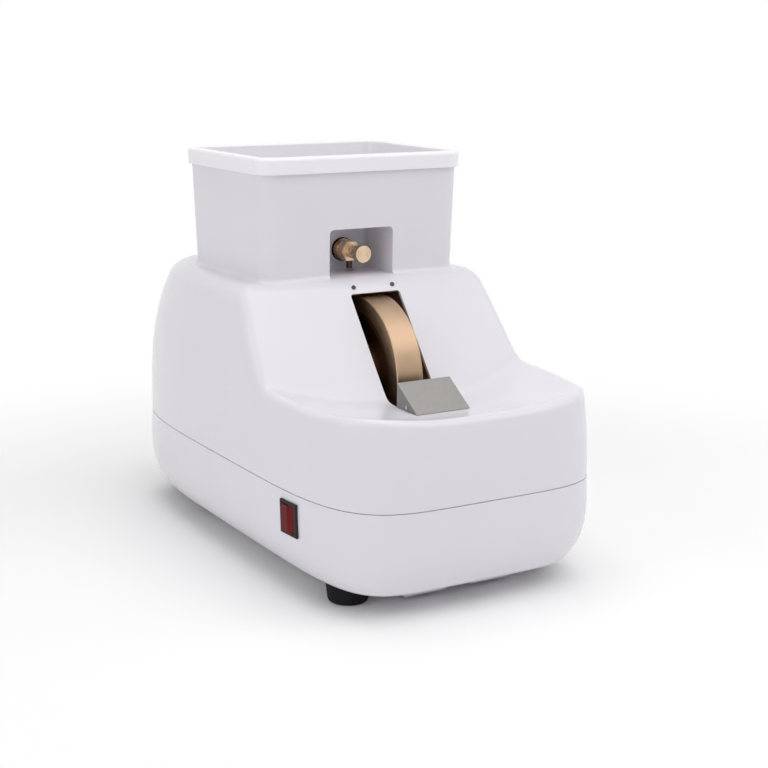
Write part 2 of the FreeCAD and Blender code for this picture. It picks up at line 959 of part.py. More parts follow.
def chamber_profile():
    """The chamber from the side: rear wall, top, open slope and deck, front wall, sloping floor with a sump."""
    deck_line = deck_z - wall - chamber_lip_gap
    inset = wall + chamber_lip_gap
    return [
        (chamber_rear_y, chamber_rear_low_z),
        (chamber_rear_y, chamber_top_z),
        (slope_y_at(chamber_half, chamber_top_z, inset), chamber_top_z),
        (slope_y_at(chamber_half, deck_line, inset), deck_line),
        (chamber_front_y, deck_line),
        (chamber_front_y, chamber_front_low_z),
        (chamber_sump_front_y, chamber_sump_z),
        (chamber_sump_rear_y, chamber_sump_z),
    ]


def chamber_lug(side):
    """A lug on the chamber's top that reaches the back of the sloping panel."""
    far_x = lug_x + lug_half
    low = chamber_top_z - chamber_wall
    high = roof_z - wall - chamber_lip_gap
    profile = [
        (slope_y_at(far_x, low, wall + seat_gap), low),
        (slope_y_at(far_x, high, wall + seat_gap) + lug_depth, low),
        (slope_y_at(far_x, high, wall + seat_gap) + lug_depth, high),
        (slope_y_at(far_x, high, wall + seat_gap), high),
    ]
    return prism_x(profile, side * lug_x - lug_half, side * lug_x + lug_half)


def splash_chamber():
    profile = chamber_profile()
    w = chamber_wall
    outer = prism_x(profile, -chamber_half, chamber_half)
    hollow = moved_in(profile, (w, w, -overrun, -overrun, w, w, w, w))
    inner = prism_x(hollow, -chamber_half + w, chamber_half - w)
    pieces = [outer]
    for x, y in chamber_post_places():
        floor = chamber_sump_z if y < chamber_sump_rear_y else chamber_rear_low_z
        pieces.append(rod_z(chamber_post_radius, chassis_top_z, floor + w, x, y))
    body = fused(pieces).cut(inner)
    body = fused([body, chamber_lug(1), chamber_lug(-1)])
    cutters = [
        rod_x(chamber_shaft_hole, chamber_half - w - overrun, chamber_half + overrun, wheel_y, wheel_z),
        rod_x(drain_radius + fit, chamber_half - w - overrun, chamber_half + overrun, drain_y, drain_z),
        rod_z(chamber_drip_hole, chamber_top_z - w - overrun, chamber_top_z + overrun, tap_x, spout_y),
        lug_screw_hole(1, lug_screw_radius + fit),
        lug_screw_hole(-1, lug_screw_radius + fit),
    ]
    for x, y in chamber_post_places():
        top = chassis_z + chamber_screw_length + seat_gap
        cutters.append(rod_z(chamber_screw_radius + fit, chassis_z, top, x, y))
    return cut_all(body, cutters)


def chamber_screws():
    screws = []
    for x, y in chamber_post_places():
        screws.append(
            screw_up(
                x, y, chassis_z, chamber_screw_radius, chamber_screw_head, chamber_screw_head_height, chamber_screw_length
            )
        )
    return Part.makeCompound(screws)


def panel_screws():
    """The two small screws above the slot."""
    screws = []
    for side in (1, -1):
        here, inward = lug_screw_place(side)
        head = Part.makeCylinder(lug_screw_head, lug_screw_head_height, here - inward * lug_screw_head_height, inward)
        shank = Part.makeCylinder(lug_screw_radius, lug_screw_length, here - inward * fit, inward)
        screw = fused([head, shank])
        screws.append(screw.cut(Part.makeSphere(lug_screw_radius / 2, here - inward * lug_screw_head_height)))
    return Part.makeCompound(screws)


def shaft_seal():
    inside = chamber_half - chamber_wall
    bore = spindle_radius + air_gap
    body = ring_x(chamber_shaft_hole - fit, bore, inside - seal_thick, chamber_half + seal_thick / 2, wheel_y, wheel_z)
    lip = ring_x(chamber_shaft_hole + seal_lip, bore, inside - seal_thick, inside, wheel_y, wheel_z)
    return fused([body, lip])


def drain_spout():
    """A pipe from the chamber with a thinner nose for the hose, which stands in a round opening."""
    start = chamber_half - chamber_wall
    nose_start = drain_end_x - drain_nose_length
    pieces = [
        rod_x(drain_radius, start, nose_start, drain_y, drain_z),
        rod_x(drain_nose_radius, nose_start - overrun, drain_end_x, drain_y, drain_z),
        rod_x(drain_radius + drain_collar, chamber_half, chamber_half + drain_collar, drain_y, drain_z),
    ]
    bore = rod_x(drain_nose_radius - drain_wall, start - overrun, drain_end_x + overrun, drain_y, drain_z)
    return fused(pieces).cut(bore)


# Water tank and tap


def water_tank():
    body_inset = wall + tank_gap
    outer = turret_block(tank_floor_z, turret_top_z + rim_thick / 2, body_inset)
    outer = outer.cut(niche_block(wall + tank_gap, -body_reach))
    rim = Part.makeLoft(
        [turret_at(turret_top_z, -rim_gap - rim_skirt), turret_at(rim_top_z, -rim_gap - rim_skirt)], True, True
    )
    skirt = turret_block(rim_skirt_z, turret_top_z, -rim_gap - rim_skirt)
    skirt = skirt.cut(turret_block(rim_skirt_z - overrun, turret_top_z, -rim_gap))
    tank = fused([outer, rim, skirt])
    tank = tank.makeFillet(rim_outer_round, edges_at_height(tank, rim_top_z))
    hollow = turret_block(tank_floor_z + tank_wall, rim_top_z + overrun, body_inset + tank_wall)
    hollow = hollow.cut(niche_block(wall + tank_gap + tank_wall, -body_reach))
    tank = tank.cut(hollow)
    inner_top = [e for e in edges_at_height(tank, rim_top_z) if e.BoundBox.XMax < turret_half and e.BoundBox.YMin > turret_front_y]
    tank = tank.makeFillet(rim_inner_round, inner_top)
    hole = rod_y(tap_stem_radius + fit, niche_back_y, tank_step_y + tank_wall + overrun, tap_x, tap_z)
    return tank.cut(hole)


def tap_body():
    hex_end = tap_hex_front_y + tap_hex_length
    flange_end = niche_back_y - tap_washer
    pieces = [
        rod_y(tap_barrel_radius, tap_barrel_front_y, hex_end, tap_x, tap_z),
        hexagon(tap_hex_flats, (tap_x, tap_hex_front_y, tap_z), (0, 1, 0), tap_hex_length),
        rod_y(tap_body_radius, tap_hex_front_y, flange_end, tap_x, tap_z),
        rod_y(tap_flange_radius, flange_end - tap_flange_thick, flange_end, tap_x, tap_z),
        rod_y(tap_stem_radius, flange_end - tap_flange_thick, tap_stem_end_y, tap_x, tap_z),
    ]
    body = fused(pieces)
    cutters = [
        rod_y(tap_bore_radius, tap_barrel_front_y + tap_barrel_wall, tap_stem_end_y + overrun, tap_x, tap_z),
        rod_y(tap_spindle_radius + fit, tap_barrel_front_y - overrun, tap_spindle_end_y, tap_x, tap_z),
        rod_z(spout_radius + fit, spout_end_z, tap_z - tap_barrel_radius + spout_seat + fit, tap_x, spout_y),
        rod_z(spout_radius - spout_wall, spout_end_z, tap_z, tap_x, spout_y),
    ]
    return cut_all(body, cutters)


def tap_ring(shape, hole_radius, y0, y1):
    return shape.cut(rod_y(hole_radius, y0 - overrun, y1 + overrun, tap_x, tap_z))


def tap_washers():
    outside = niche_back_y - tap_washer
    inside = tank_step_y + tank_wall
    rings = []
    for y in (outside, inside):
        disc = rod_y(tap_washer_radius, y, y + tap_washer, tap_x, tap_z)
        rings.append(tap_ring(disc, tap_stem_radius + fit, y, y + tap_washer))
    return Part.makeCompound(rings)


def tap_locknut():
    start = tank_step_y + tank_wall + tap_washer
    nut = hexagon(tap_hex_flats, (tap_x, start, tap_z), (0, 1, 0), tap_locknut_length)
    return tap_ring(nut, tap_stem_radius + fit, start, start + tap_locknut_length)


def tap_gland():
    start = tap_barrel_front_y - tap_gland_length
    nut = hexagon(tap_gland_flats, (tap_x, start, tap_z), (0, 1, 0), tap_gland_length)
    return tap_ring(nut, tap_spindle_radius + fit, start, tap_barrel_front_y)


def tap_spindle():
    return rod_y(tap_spindle_radius, knob_front_y + knob_front_wall, tap_spindle_end_y, tap_x, tap_z)


def tap_knob():
    head_rear = knob_rear_y - knob_neck
    head = rod_y(knob_radius, knob_front_y, head_rear, tap_x, tap_z)
    head = head.makeFillet(knob_groove_radius, [e for e in head.Edges if e.BoundBox.YLength < fit])
    neck = rod_y(knob_neck_radius, head_rear - knob_neck / 2, knob_rear_y, tap_x, tap_z)
    knob = fused([head, neck])
    cutters = [rod_y(tap_spindle_radius, knob_front_y + knob_front_wall, knob_rear_y + overrun, tap_x, tap_z)]
    for i in range(knob_groove_count):
        turn = 2 * math.pi * i / knob_groove_count
        x = tap_x + knob_radius * math.cos(turn)
        z = tap_z + knob_radius * math.sin(turn)
        cutters.append(rod_y(knob_groove_radius, knob_front_y - overrun, head_rear + overrun, x, z))
    for share in knob_ring_shares:
        outer = knob_radius * share + knob_ring_width / 2
        groove = rod_y(outer, knob_front_y - overrun, knob_front_y + knob_ring_depth, tap_x, tap_z)
        core = rod_y(outer - knob_ring_width, knob_front_y - overrun, knob_front_y + overrun, tap_x, tap_z)
        cutters.append(groove.cut(core))
    return cut_all(knob, cutters)


def tap_spout():
    top = tap_z - tap_barrel_radius + spout_seat
    tube = rod_z(spout_radius, spout_end_z, top, tap_x, spout_y)
    return tube.cut(rod_z(spout_radius - spout_wall, spout_end_z - overrun, top + overrun, tap_x, spout_y))


# Wheel guard


def wheel_guard():
    profile = [
        (guard_back_y, guard_low_z),
        (guard_back_y, guard_top_z),
        (guard_front_y, guard_low_z),
    ]
    outer = prism_x(profile, -guard_half, guard_half)
    hollow = moved_in(profile, (-overrun, guard_sheet, -overrun))
    inner = prism_x(hollow, -guard_half + guard_sheet, guard_half - guard_sheet)
    inside = guard_half - guard_sheet
    flange = box(
        (-inside, guard_front_y, guard_low_z),
        (inside, guard_flange_rear_y, guard_low_z + guard_sheet),
    )
    pieces = [outer.cut(inner), flange.common(outer)]
    for side in (1, -1):
        tab = box(
            (min(side * inside, side * (inside - guard_sheet)), guard_tab_front_y, guard_low_z),
            (max(side * inside, side * (inside - guard_sheet)), guard_tab_rear_y, guard_tab_top_z),
        )
        pieces.append(tab.common(outer))
    guard = fused(pieces)
    cutters = []
    for side in (1, -1):
        cutters.append(rod_z(guard_screw_radius + fit, deck_z - overrun, guard_low_z + wall, side * guard_screw_x, guard_screw_y))
        low = min(side * (inside - wall), side * (guard_half + wall))
        high = max(side * (inside - wall), side * (guard_half + wall))
        cutters.append(rod_x(guard_rivet_radius + fit, low, high, guard_rivet_y, guard_rivet_z))
    return cut_all(guard, cutters)


def guard_rivets():
    rivets = []
    inside = guard_half - guard_sheet - guard_sheet
    for side in (1, -1):
        low = min(side * inside, side * guard_half)
        high = max(side * inside, side * guard_half)
        shank = rod_x(guard_rivet_radius, low - fit, high + fit, guard_rivet_y, guard_rivet_z)
        heads = [
            rod_x(guard_rivet_head, low - guard_rivet_head_height, low, guard_rivet_y, guard_rivet_z),
            rod_x(guard_rivet_head, high, high + guard_rivet_head_height, guard_rivet_y, guard_rivet_z),
        ]
        rivets.append(fused([shank] + heads))
    return Part.makeCompound(rivets)


def guard_screws():
    seat = deck_z - wall
    length = wall + guard_lift + guard_sheet
    screws = []
    for side in (1, -1):
        screws.append(
            screw_up(
                side * guard_screw_x,
                guard_screw_y,
                seat,
                guard_screw_radius,
                guard_screw_head,
                guard_screw_head_height,
                length,
            )
        )
    return Part.makeCompound(screws)


# Wheel and spindle


def wheel_rim():
    half = wheel_width / 2
    rim = rod_x(wheel_radius, -half, half, wheel_y, wheel_z)
    rim = rim.makeFillet(rim_edge, [e for e in rim.Edges if e.BoundBox.XLength < fit])
    return rim.cut(rod_x(rim_inner_radius, -half - overrun, half + overrun, wheel_y, wheel_z))


def wheel_hub():
    half = wheel_width / 2 - hub_recess
    outer = rim_inner_radius - fit
    ring = ring_x(outer, outer - hub_ring, -half, half, wheel_y, wheel_z)
    web = rod_x(outer - hub_ring / 2, -hub_web / 2, hub_web / 2, wheel_y, wheel_z)
    boss = rod_x(hub_boss_radius, -hub_boss_width / 2, hub_boss_width / 2, wheel_y, wheel_z)
    hub = fused([ring, web, boss])
    return hub.cut(rod_x(spindle_radius + fit, -half - overrun, half + overrun, wheel_y, wheel_z))


def wheel_flange(x0, outer_edge_x):
    flange = rod_x(flange_radius, x0, x0 + flange_thick, wheel_y, wheel_z)
    edge = [e for e in flange.Edges if abs(e.BoundBox.XMin - outer_edge_x) < fit and e.BoundBox.XLength < fit]
    flange = flange.makeFillet(flange_round, edge)
    return flange.cut(rod_x(spindle_radius + fit, x0 - overrun, x0 + flange_thick + overrun, wheel_y, wheel_z))


def outer_flange():
    right = -hub_boss_width / 2
    return wheel_flange(right - flange_thick, right - flange_thick)


def inner_flange():
    left = hub_boss_width / 2
    return wheel_flange(left, left + flange_thick)


def wheel_nut():
    right = -hub_boss_width / 2 - flange_thick
    nut = hexagon(nut_flats, (right - nut_length, wheel_y, wheel_z), (1, 0, 0), nut_length)
    return nut.cut(rod_x(spindle_radius + fit, right - nut_length - overrun, right + overrun, wheel_y, wheel_z))


def wheel_spindle():
    left = -hub_boss_width / 2 - flange_thick - nut_length - spindle_tail
    collar_left = hub_boss_width / 2 + flange_thick
    shaft = rod_x(spindle_radius, left, pulley_right + shaft_end, wheel_y, wheel_z)
    shaft = shaft.makeChamfer(shaft_end, [e for e in shaft.Edges if e.BoundBox.XLength < fit])
    collar = rod_x(collar_radius, collar_left, collar_left + collar_length, wheel_y, wheel_z)
    return fused([shaft, collar])


def bearing(x0, width, bore, outer, ring_wall, ball_count, y, z):
    """Outer ring and balls of one bearing."""
    ball_circle = (bore + outer) / 2
    ball = (outer - bore) / 2 - ring_wall - fit
    pieces = [ring_x(outer, outer - ring_wall, x0, x0 + width, y, z)]
    for i in range(ball_count):
        by, bz = round_circle(y, z, ball_circle, 2 * math.pi * i / ball_count)
        pieces.append(Part.makeSphere(ball, V(x0 + width / 2, by, bz)))
    return pieces


def spindle_bearing_lefts():
    return (housing_left, housing_right - bearing_width)


def spindle_bearings():
    pieces = []
    for x0 in spindle_bearing_lefts():
        pieces += bearing(
            x0, bearing_width, spindle_radius, bearing_outer, bearing_wall, bearing_ball_count, wheel_y, wheel_z
        )
    return Part.makeCompound(pieces)


def spindle_inner_rings():
    bore = spindle_radius + fit
    outer = spindle_radius + bearing_wall
    return Part.makeCompound(
        [ring_x(outer, bore, x0, x0 + bearing_width, wheel_y, wheel_z) for x0 in spindle_bearing_lefts()]
    )


def cap_screw_places():
    turns = [2 * math.pi * (i + 1 / 2) / cap_screw_count for i in range(cap_screw_count)]
    return [round_circle(wheel_y, wheel_z, cap_screw_circle, turn) for turn in turns]


def spindle_housing():
    barrel = rod_x(housing_radius, housing_left, housing_right, wheel_y, wheel_z)
    foot_top = bracket_top_z + housing_foot_thick
    foot = box(
        (housing_left, wheel_y - housing_foot_half, bracket_top_z),
        (housing_right, wheel_y + housing_foot_half, foot_top),
    )
    neck_half = housing_foot_half / 2
    neck = box(
        (housing_left, wheel_y - neck_half, bracket_top_z),
        (housing_right, wheel_y + neck_half, wheel_z),
    )
    body = fused([barrel, foot, neck])
    pocket = bearing_outer + fit
    cutters = [
        rod_x(bearing_outer - bearing_wall, housing_left - overrun, housing_right + overrun, wheel_y, wheel_z),
        rod_x(pocket, housing_left - overrun, housing_left + bearing_width, wheel_y, wheel_z),
        rod_x(pocket, housing_right - bearing_width, housing_right + overrun, wheel_y, wheel_z),
    ]
    depth = cap_screw_length - cap_thick + seat_gap
    for y, z in cap_screw_places():
        cutters.append(rod_x(cap_screw_radius + fit, housing_left - overrun, housing_left + depth, y, z))
        cutters.append(rod_x(cap_screw_radius + fit, housing_right - depth, housing_right + overrun, y, z))
    for x, y in housing_bolt_places():
        cutters.append(rod_z(bolt_radius + fit, bracket_top_z - overrun, foot_top + overrun, x, y))
    return cut_all(body, cutters)


def bearing_caps():
    caps = []
    for x0 in (housing_left - cap_thick, housing_right):
        cap = ring_x(housing_radius, bearing_outer - bearing_wall + fit, x0, x0 + cap_thick, wheel_y, wheel_z)
        holes = [rod_x(cap_screw_radius + fit, x0 - overrun, x0 + cap_thick + overrun, y, z) for y, z in cap_screw_places()]
        caps.append(cut_all(cap, holes))
    return Part.makeCompound(caps)


def cap_screws():
    screws = []
    for y, z in cap_screw_places():
        left = housing_left - cap_thick
        head = rod_x(cap_screw_head, left - cap_screw_head_height, left, y, z)
        screws.append(fused([head, rod_x(cap_screw_radius, left - fit, left + cap_screw_length, y, z)]))
        right = housing_right + cap_thick
        head = rod_x(cap_screw_head, right, right + cap_screw_head_height, y, z)
        screws.append(fused([head, rod_x(cap_screw_radius, right - cap_screw_length, right + fit, y, z)]))
    return Part.makeCompound(screws)


def spindle_bracket():
    low = chassis_top_z
    reach = bracket_foot_reach
    foot = box((housing_left, wheel_y - reach, low), (housing_right, wheel_y + reach, low + bracket_plate))
    top = box(
        (housing_left, wheel_y - housing_foot_half, bracket_top_z - bracket_plate),
        (housing_right, wheel_y + housing_foot_half, bracket_top_z),
    )
    profile = [
        (wheel_y - reach, low),
        (wheel_y + reach, low),
        (wheel_y + housing_foot_half, bracket_top_z),
        (wheel_y - housing_foot_half, bracket_top_z),
    ]
    webs = [
        prism_x(profile, housing_left, housing_left + bracket_web),
        prism_x(profile, housing_right - bracket_web, housing_right),
    ]
    body = fused([foot, top] + webs)
    cutters = [rod_z(bolt_radius + fit, low - overrun, low + bracket_plate + overrun, x, y) for x, y in bracket_bolt_places()]
    for x, y in housing_bolt_places():
        cutters.append(rod_z(bolt_radius + fit, bracket_top_z - bracket_plate - overrun, bracket_top_z + overrun, x, y))
    return cut_all(body, cutters)


def housing_bolts():
    seat = bracket_top_z + housing_foot_thick
    return Part.makeCompound(
        [screw_down(x, y, seat, bolt_radius, bolt_head, bolt_head_height, housing_bolt_length) for x, y in housing_bolt_places()]
    )


def frame_bolts():
    bolts = []
    for x, y in bracket_bolt_places():
        seat = chassis_top_z + bracket_plate
        bolts.append(screw_down(x, y, seat, bolt_radius, bolt_head, bolt_head_height, frame_bolt_length))
    for x, y in clamp_bolt_places():
        seat = chassis_top_z + clamp_foot_thick
        bolts.append(screw_down(x, y, seat, bolt_radius, bolt_head, bolt_head_height, frame_bolt_length))
    return Part.makeCompound(bolts)


# Belt drive


def pulley(radius, bore, y, z):
    """A flat belt pulley with a lip at each edge."""
    body = rod_x(radius, pulley_left, pulley_right, y, z)
    lips = [
        rod_x(radius + pulley_lip, pulley_left, pulley_left + pulley_rim, y, z),
        rod_x(radius + pulley_lip, pulley_right - pulley_rim, pulley_right, y, z),
    ]
    whole = fused([body] + lips)
    return whole.cut(rod_x(bore + fit, pulley_left - overrun, pulley_right + overrun, y, z))


def belt_side(grow, x0, x1):
    """The solid inside a belt line round both pulleys."""
    ra = spindle_pulley_radius + grow
    rb = motor_pulley_radius + grow
    distance = math.hypot(motor_y - wheel_y, motor_z - wheel_z)
    heading = math.atan2(motor_z - wheel_z, motor_y - wheel_y)
    spread = math.acos((ra - rb) / distance)

    def point(y, z, radius, turn):
        return V(x0, *round_circle(y, z, radius, turn))

    a_high = point(wheel_y, wheel_z, ra, heading + spread)
    a_far = point(wheel_y, wheel_z, ra, heading + math.pi)
    a_low = point(wheel_y, wheel_z, ra, heading - spread)
    b_low = point(motor_y, motor_z, rb, heading - spread)
    b_far = point(motor_y, motor_z, rb, heading)
    b_high = point(motor_y, motor_z, rb, heading + spread)
    edges = [
        Part.Arc(a_high, a_far, a_low).toShape(),
        Part.LineSegment(a_low, b_low).toShape(),
        Part.Arc(b_low, b_far, b_high).toShape(),
        Part.LineSegment(b_high, a_high).toShape(),
    ]
    return Part.Face(Part.Wire(edges)).extrude(V(x1 - x0, 0, 0))


def drive_belt():
    middle = (pulley_left + pulley_right) / 2
    x0 = middle - belt_width / 2
    x1 = middle + belt_width / 2
    outer = belt_side(air_gap + belt_thick, x0, x1)
    return outer.cut(belt_side(air_gap, x0 - overrun, x1 + overrun))


# Motor


def bell(x0, side):
    """An end bell with a bearing boss; side is 1 where the shaft comes out."""
    x1 = x0 + bell_length
    outside = x1 if side > 0 else x0
    inside = x0 if side > 0 else x1
    inner_face = outside - side * bell_wall
    cup = rod_x(motor_radius, x0, x1, motor_y, motor_z)
    low = min(inside - side * overrun, inner_face)
    high = max(inside - side * overrun, inner_face)
    cup = cup.cut(rod_x(motor_radius - bell_wall, low, high, motor_y, motor_z))
    boss = rod_x(motor_bearing_outer + bell_boss_wall, x0, x1, motor_y, motor_z)
    body = fused([cup, boss])
    pocket_end = outside - side * motor_bearing_setback
    low = min(inside - side * overrun, pocket_end)
    high = max(inside - side * overrun, pocket_end)
    body = body.cut(rod_x(motor_bearing_outer + fit, low, high, motor_y, motor_z))
    if side > 0:
        body = body.cut(rod_x(motor_shaft_radius + fit + air_gap, x0, x1 + overrun, motor_y, motor_z))
    for y, z in tie_rod_places():
        body = body.cut(rod_x(tie_rod_radius + seat_gap, x0 - overrun, x1 + overrun, y, z))
    return body


def tie_rod_places():
    turns = [2 * math.pi * (i + 1 / 2) / tie_rod_count for i in range(tie_rod_count)]
    return [round_circle(motor_y, motor_z, tie_rod_circle, turn) for turn in turns]


def motor_shell():
    return ring_x(
        motor_radius, motor_radius - motor_shell_wall, motor_left + bell_length, motor_right - bell_length, motor_y, motor_z
    )


def motor_left_bell():
    return bell(motor_left, -1)


def motor_right_bell():
    return bell(motor_right - bell_length, 1)


def stator_core():
    outer = motor_radius - motor_shell_wall - fit
    x0 = motor_middle - stator_length / 2
    core = ring_x(outer, stator_bore, x0, x0 + stator_length, motor_y, motor_z)
    holes = [rod_x(tie_rod_radius + seat_gap, x0 - overrun, x0 + stator_length + overrun, y, z) for y, z in tie_rod_places()]
    return cut_all(core, holes)


def stator_windings():
    inner = stator_bore + winding_step
    outer = inner + winding_wall
    rings = []
    for x0 in (motor_middle - stator_length / 2 - winding_length, motor_middle + stator_length / 2):
        ring = ring_x(outer, inner, x0, x0 + winding_length, motor_y, motor_z)
        far = x0 if x0 < motor_middle else x0 + winding_length
        ends = [e for e in ring.Edges if e.BoundBox.XLength < fit and abs(e.BoundBox.XMin - far) < fit]
        rings.append(ring.makeFillet(winding_wall / 3, ends))
    return Part.makeCompound(rings)


def rotor_core():
    x0 = motor_middle - stator_length / 2
    return ring_x(stator_bore - rotor_gap, motor_shaft_radius + fit, x0, x0 + stator_length, motor_y, motor_z)


def motor_shaft():
    left = motor_left + motor_bearing_setback + seat_gap
    shaft = rod_x(motor_shaft_radius, left, pulley_right + shaft_end, motor_y, motor_z)
    return shaft.makeChamfer(shaft_end, [e for e in shaft.Edges if e.BoundBox.XLength < fit])


def motor_bearing_lefts():
    return (
        motor_left + motor_bearing_setback,
        motor_right - motor_bearing_setback - motor_bearing_width,
    )


def motor_bearings():
    pieces = []
    for x0 in motor_bearing_lefts():
        pieces += bearing(
            x0,
            motor_bearing_width,
            motor_shaft_radius,
            motor_bearing_outer,
            motor_bearing_wall,
            bearing_ball_count,
            motor_y,
            motor_z,
        )
    return Part.makeCompound(pieces)


def motor_inner_rings():
    outer = motor_shaft_radius + motor_bearing_wall
    rings = []
    for x0 in motor_bearing_lefts():
        rings.append(ring_x(outer, motor_shaft_radius + fit, x0 + seat_gap, x0 + motor_bearing_width, motor_y, motor_z))
    return Part.makeCompound(rings)


def tie_rods():
    rods = []
    for y, z in tie_rod_places():
        shank = rod_x(tie_rod_radius, motor_left - fit, motor_right + fit, y, z)
        heads = [
            rod_x(tie_rod_head, motor_left - tie_rod_head_height, motor_left, y, z),
            rod_x(tie_rod_head, motor_right, motor_right + tie_rod_head_height, y, z),
        ]
        rods.append(fused([shank] + heads))
    return Part.makeCompound(rods)


def motor_clamps():
    """Two ring clamps round the motor, each on its own foot."""
    clamps = []
    for x in clamp_xs():
        x0 = x - clamp_width / 2
        x1 = x + clamp_width / 2
        band = rod_x(motor_radius + clamp_wall, x0, x1, motor_y, motor_z)
        web = box((x0, motor_y - clamp_web_half, chassis_top_z), (x1, motor_y + clamp_web_half, motor_z))
        foot = box(
            (x0, motor_y - clamp_foot_half, chassis_top_z),
            (x1, motor_y + clamp_foot_half, chassis_top_z + clamp_foot_thick),
        )
        clamp = fused([band, web, foot]).cut(rod_x(motor_radius + fit, x0 - overrun, x1 + overrun, motor_y, motor_z))
        clamps.append(clamp)
    body = Part.makeCompound(clamps)
    holes = [rod_z(bolt_radius + fit, chassis_z, chassis_top_z + clamp_foot_thick + overrun, x, y) for x, y in clamp_bolt_places()]
    return cut_all(body, holes)


# Switch and power inlet, built at the origin and carried to their walls


def switch_body(grow):
    """The part of the switch behind its bezel, grown for its hole in the wall."""
    half_y = bezel_y / 2 - bezel_wall + switch_body_wall + grow
    half_z = bezel_z / 2 - bezel_wall + switch_body_wall + grow
    return box((-grow * overrun, -half_y, -half_z), (switch_body_depth, half_y, half_z))


def blade_places():
    return [(y * blade_pitch_y / 2, z * blade_pitch_z / 2) for y in (-1, 1) for z in (-1, 1)]


def blade(y, z):
    return box(
        (switch_body_depth - blade_seat, y - blade_thick / 2, z - blade_width / 2),
        (switch_body_depth + blade_length, y + blade_thick / 2, z + blade_width / 2),
    )


def switch_housing():
    bezel = box((-bezel_proud, -bezel_y / 2, -bezel_z / 2), (0, bezel_y / 2, bezel_z / 2))
    front = [e for e in bezel.Edges if abs(e.BoundBox.XMax + bezel_proud) < fit]
    bezel = bezel.makeFillet(bezel_edge, front)
    housing = fused([bezel, switch_body(0)])
    well_y = bezel_y / 2 - bezel_wall
    well_z = bezel_z / 2 - bezel_wall
    well = box((-bezel_proud - overrun, -well_y, -well_z), (switch_well - bezel_proud, well_y, well_z))
    pin_x = rocker_pin_depth - bezel_proud
    pin_reach = well_z + rocker_pin_length + fit
    pins = rod_z(rocker_pin_radius + fit, -pin_reach, pin_reach, pin_x, 0)
    housing = cut_all(housing, [well, pins] + [blade(y, z) for y, z in blade_places()])
    return placed(housing, switch_place)


def switch_rocker():
    """A roof-shaped rocker, its ends round about the pin, at rest with its front side pressed in."""
    half_y = bezel_y / 2 - bezel_wall - rocker_gap
    half_z = bezel_z / 2 - bezel_wall - rocker_gap
    pin_x = rocker_pin_depth - bezel_proud
    drop = half_y * math.tan(math.radians(rocker_tilt))
    corners = [
        V(pin_x - rocker_ridge, 0, -half_z),
        V(pin_x - rocker_ridge + drop, half_y, -half_z),
        V(pin_x + rocker_skirt, half_y, -half_z),
        V(pin_x + rocker_skirt, -half_y, -half_z),
        V(pin_x - rocker_ridge + drop, -half_y, -half_z),
    ]
    body = Part.Face(Part.makePolygon(corners + corners[:1])).extrude(V(0, 0, half_z + half_z))
    body = body.common(rod_z(half_y, -half_z, half_z, pin_x, 0))
    pin_reach = half_z + rocker_gap + rocker_pin_length
    rocker = fused([body, rod_z(rocker_pin_radius, -pin_reach, pin_reach, pin_x, 0)])
    rocker.rotate(V(pin_x, 0, 0), V(0, 0, 1), rocker_tilt)
    rocker.Placement = switch_place.multiply(rocker.Placement)
    return rocker


def switch_blades():
    return Part.makeCompound([placed(blade(y, z), switch_place) for y, z in blade_places()])


def inlet_body(grow):
    half_x = inlet_body_x / 2 + grow
    half_z = inlet_body_z / 2 + grow
    return box((-half_x, -inlet_body_depth, -half_z), (half_x, grow * overrun, half_z))


def inlet_recess():
    """The shallow seat in the rear wall that the inlet's flange lies in."""
    half_x = inlet_flange_x / 2 + seat_gap
    half_z = inlet_flange_z / 2 + seat_gap
    return box((-half_x, 0, -half_z), (half_x, overrun, half_z))


def inlet_pins_local():
    pins = []
    floor = inlet_flange_thick - inlet_well_depth
    for i in (-1, 0, 1):
        x = i * inlet_pin_pitch
        z = inlet_pin_offset if i == 0 else -inlet_pin_offset
        pins.append(
            box(
                (x - inlet_pin_x / 2, -inlet_body_depth - inlet_pin_tail, z - inlet_pin_z / 2),
                (x + inlet_pin_x / 2, floor + inlet_pin_length, z + inlet_pin_z / 2),
            )
        )
    return pins


def power_inlet():
    flange = box(
        (-inlet_flange_x / 2, 0, -inlet_flange_z / 2),
        (inlet_flange_x / 2, inlet_flange_thick, inlet_flange_z / 2),
    )
    flange = flange.makeFillet(inlet_flange_corner, [e for e in flange.Edges if e.BoundBox.YLength > inlet_flange_thick / 2])
    body = fused([flange, inlet_body(0)])
    well = box(
        (-inlet_well_x / 2, inlet_flange_thick - inlet_well_depth, -inlet_well_z / 2),
        (inlet_well_x / 2, inlet_flange_thick + overrun, inlet_well_z / 2),
    )
    body = cut_all(body, [well] + inlet_pins_local())
    return placed(body, inlet_place)


def inlet_pins():
    return Part.makeCompound([placed(pin, inlet_place) for pin in inlet_pins_local()])


# Electrical pieces on the chassis


def capacitor_axis_z():
    return chassis_top_z + clip_sheet + air_gap + capacitor_radius


def capacitor():
    z = capacitor_axis_z()
    end = capacitor_y + capacitor_length
    can = rod_y(capacitor_radius, capacitor_y, end, capacitor_x, z)
    can = can.makeFillet(clip_sheet, [e for e in can.Edges if e.BoundBox.YLength < fit])
    pins = [
        rod_y(capacitor_pin_radius, end - overrun, end + capacitor_pin_length, capacitor_x + side * capacitor_pin_pitch / 2, z)
        for side in (1, -1)
    ]
    return fused([can] + pins)


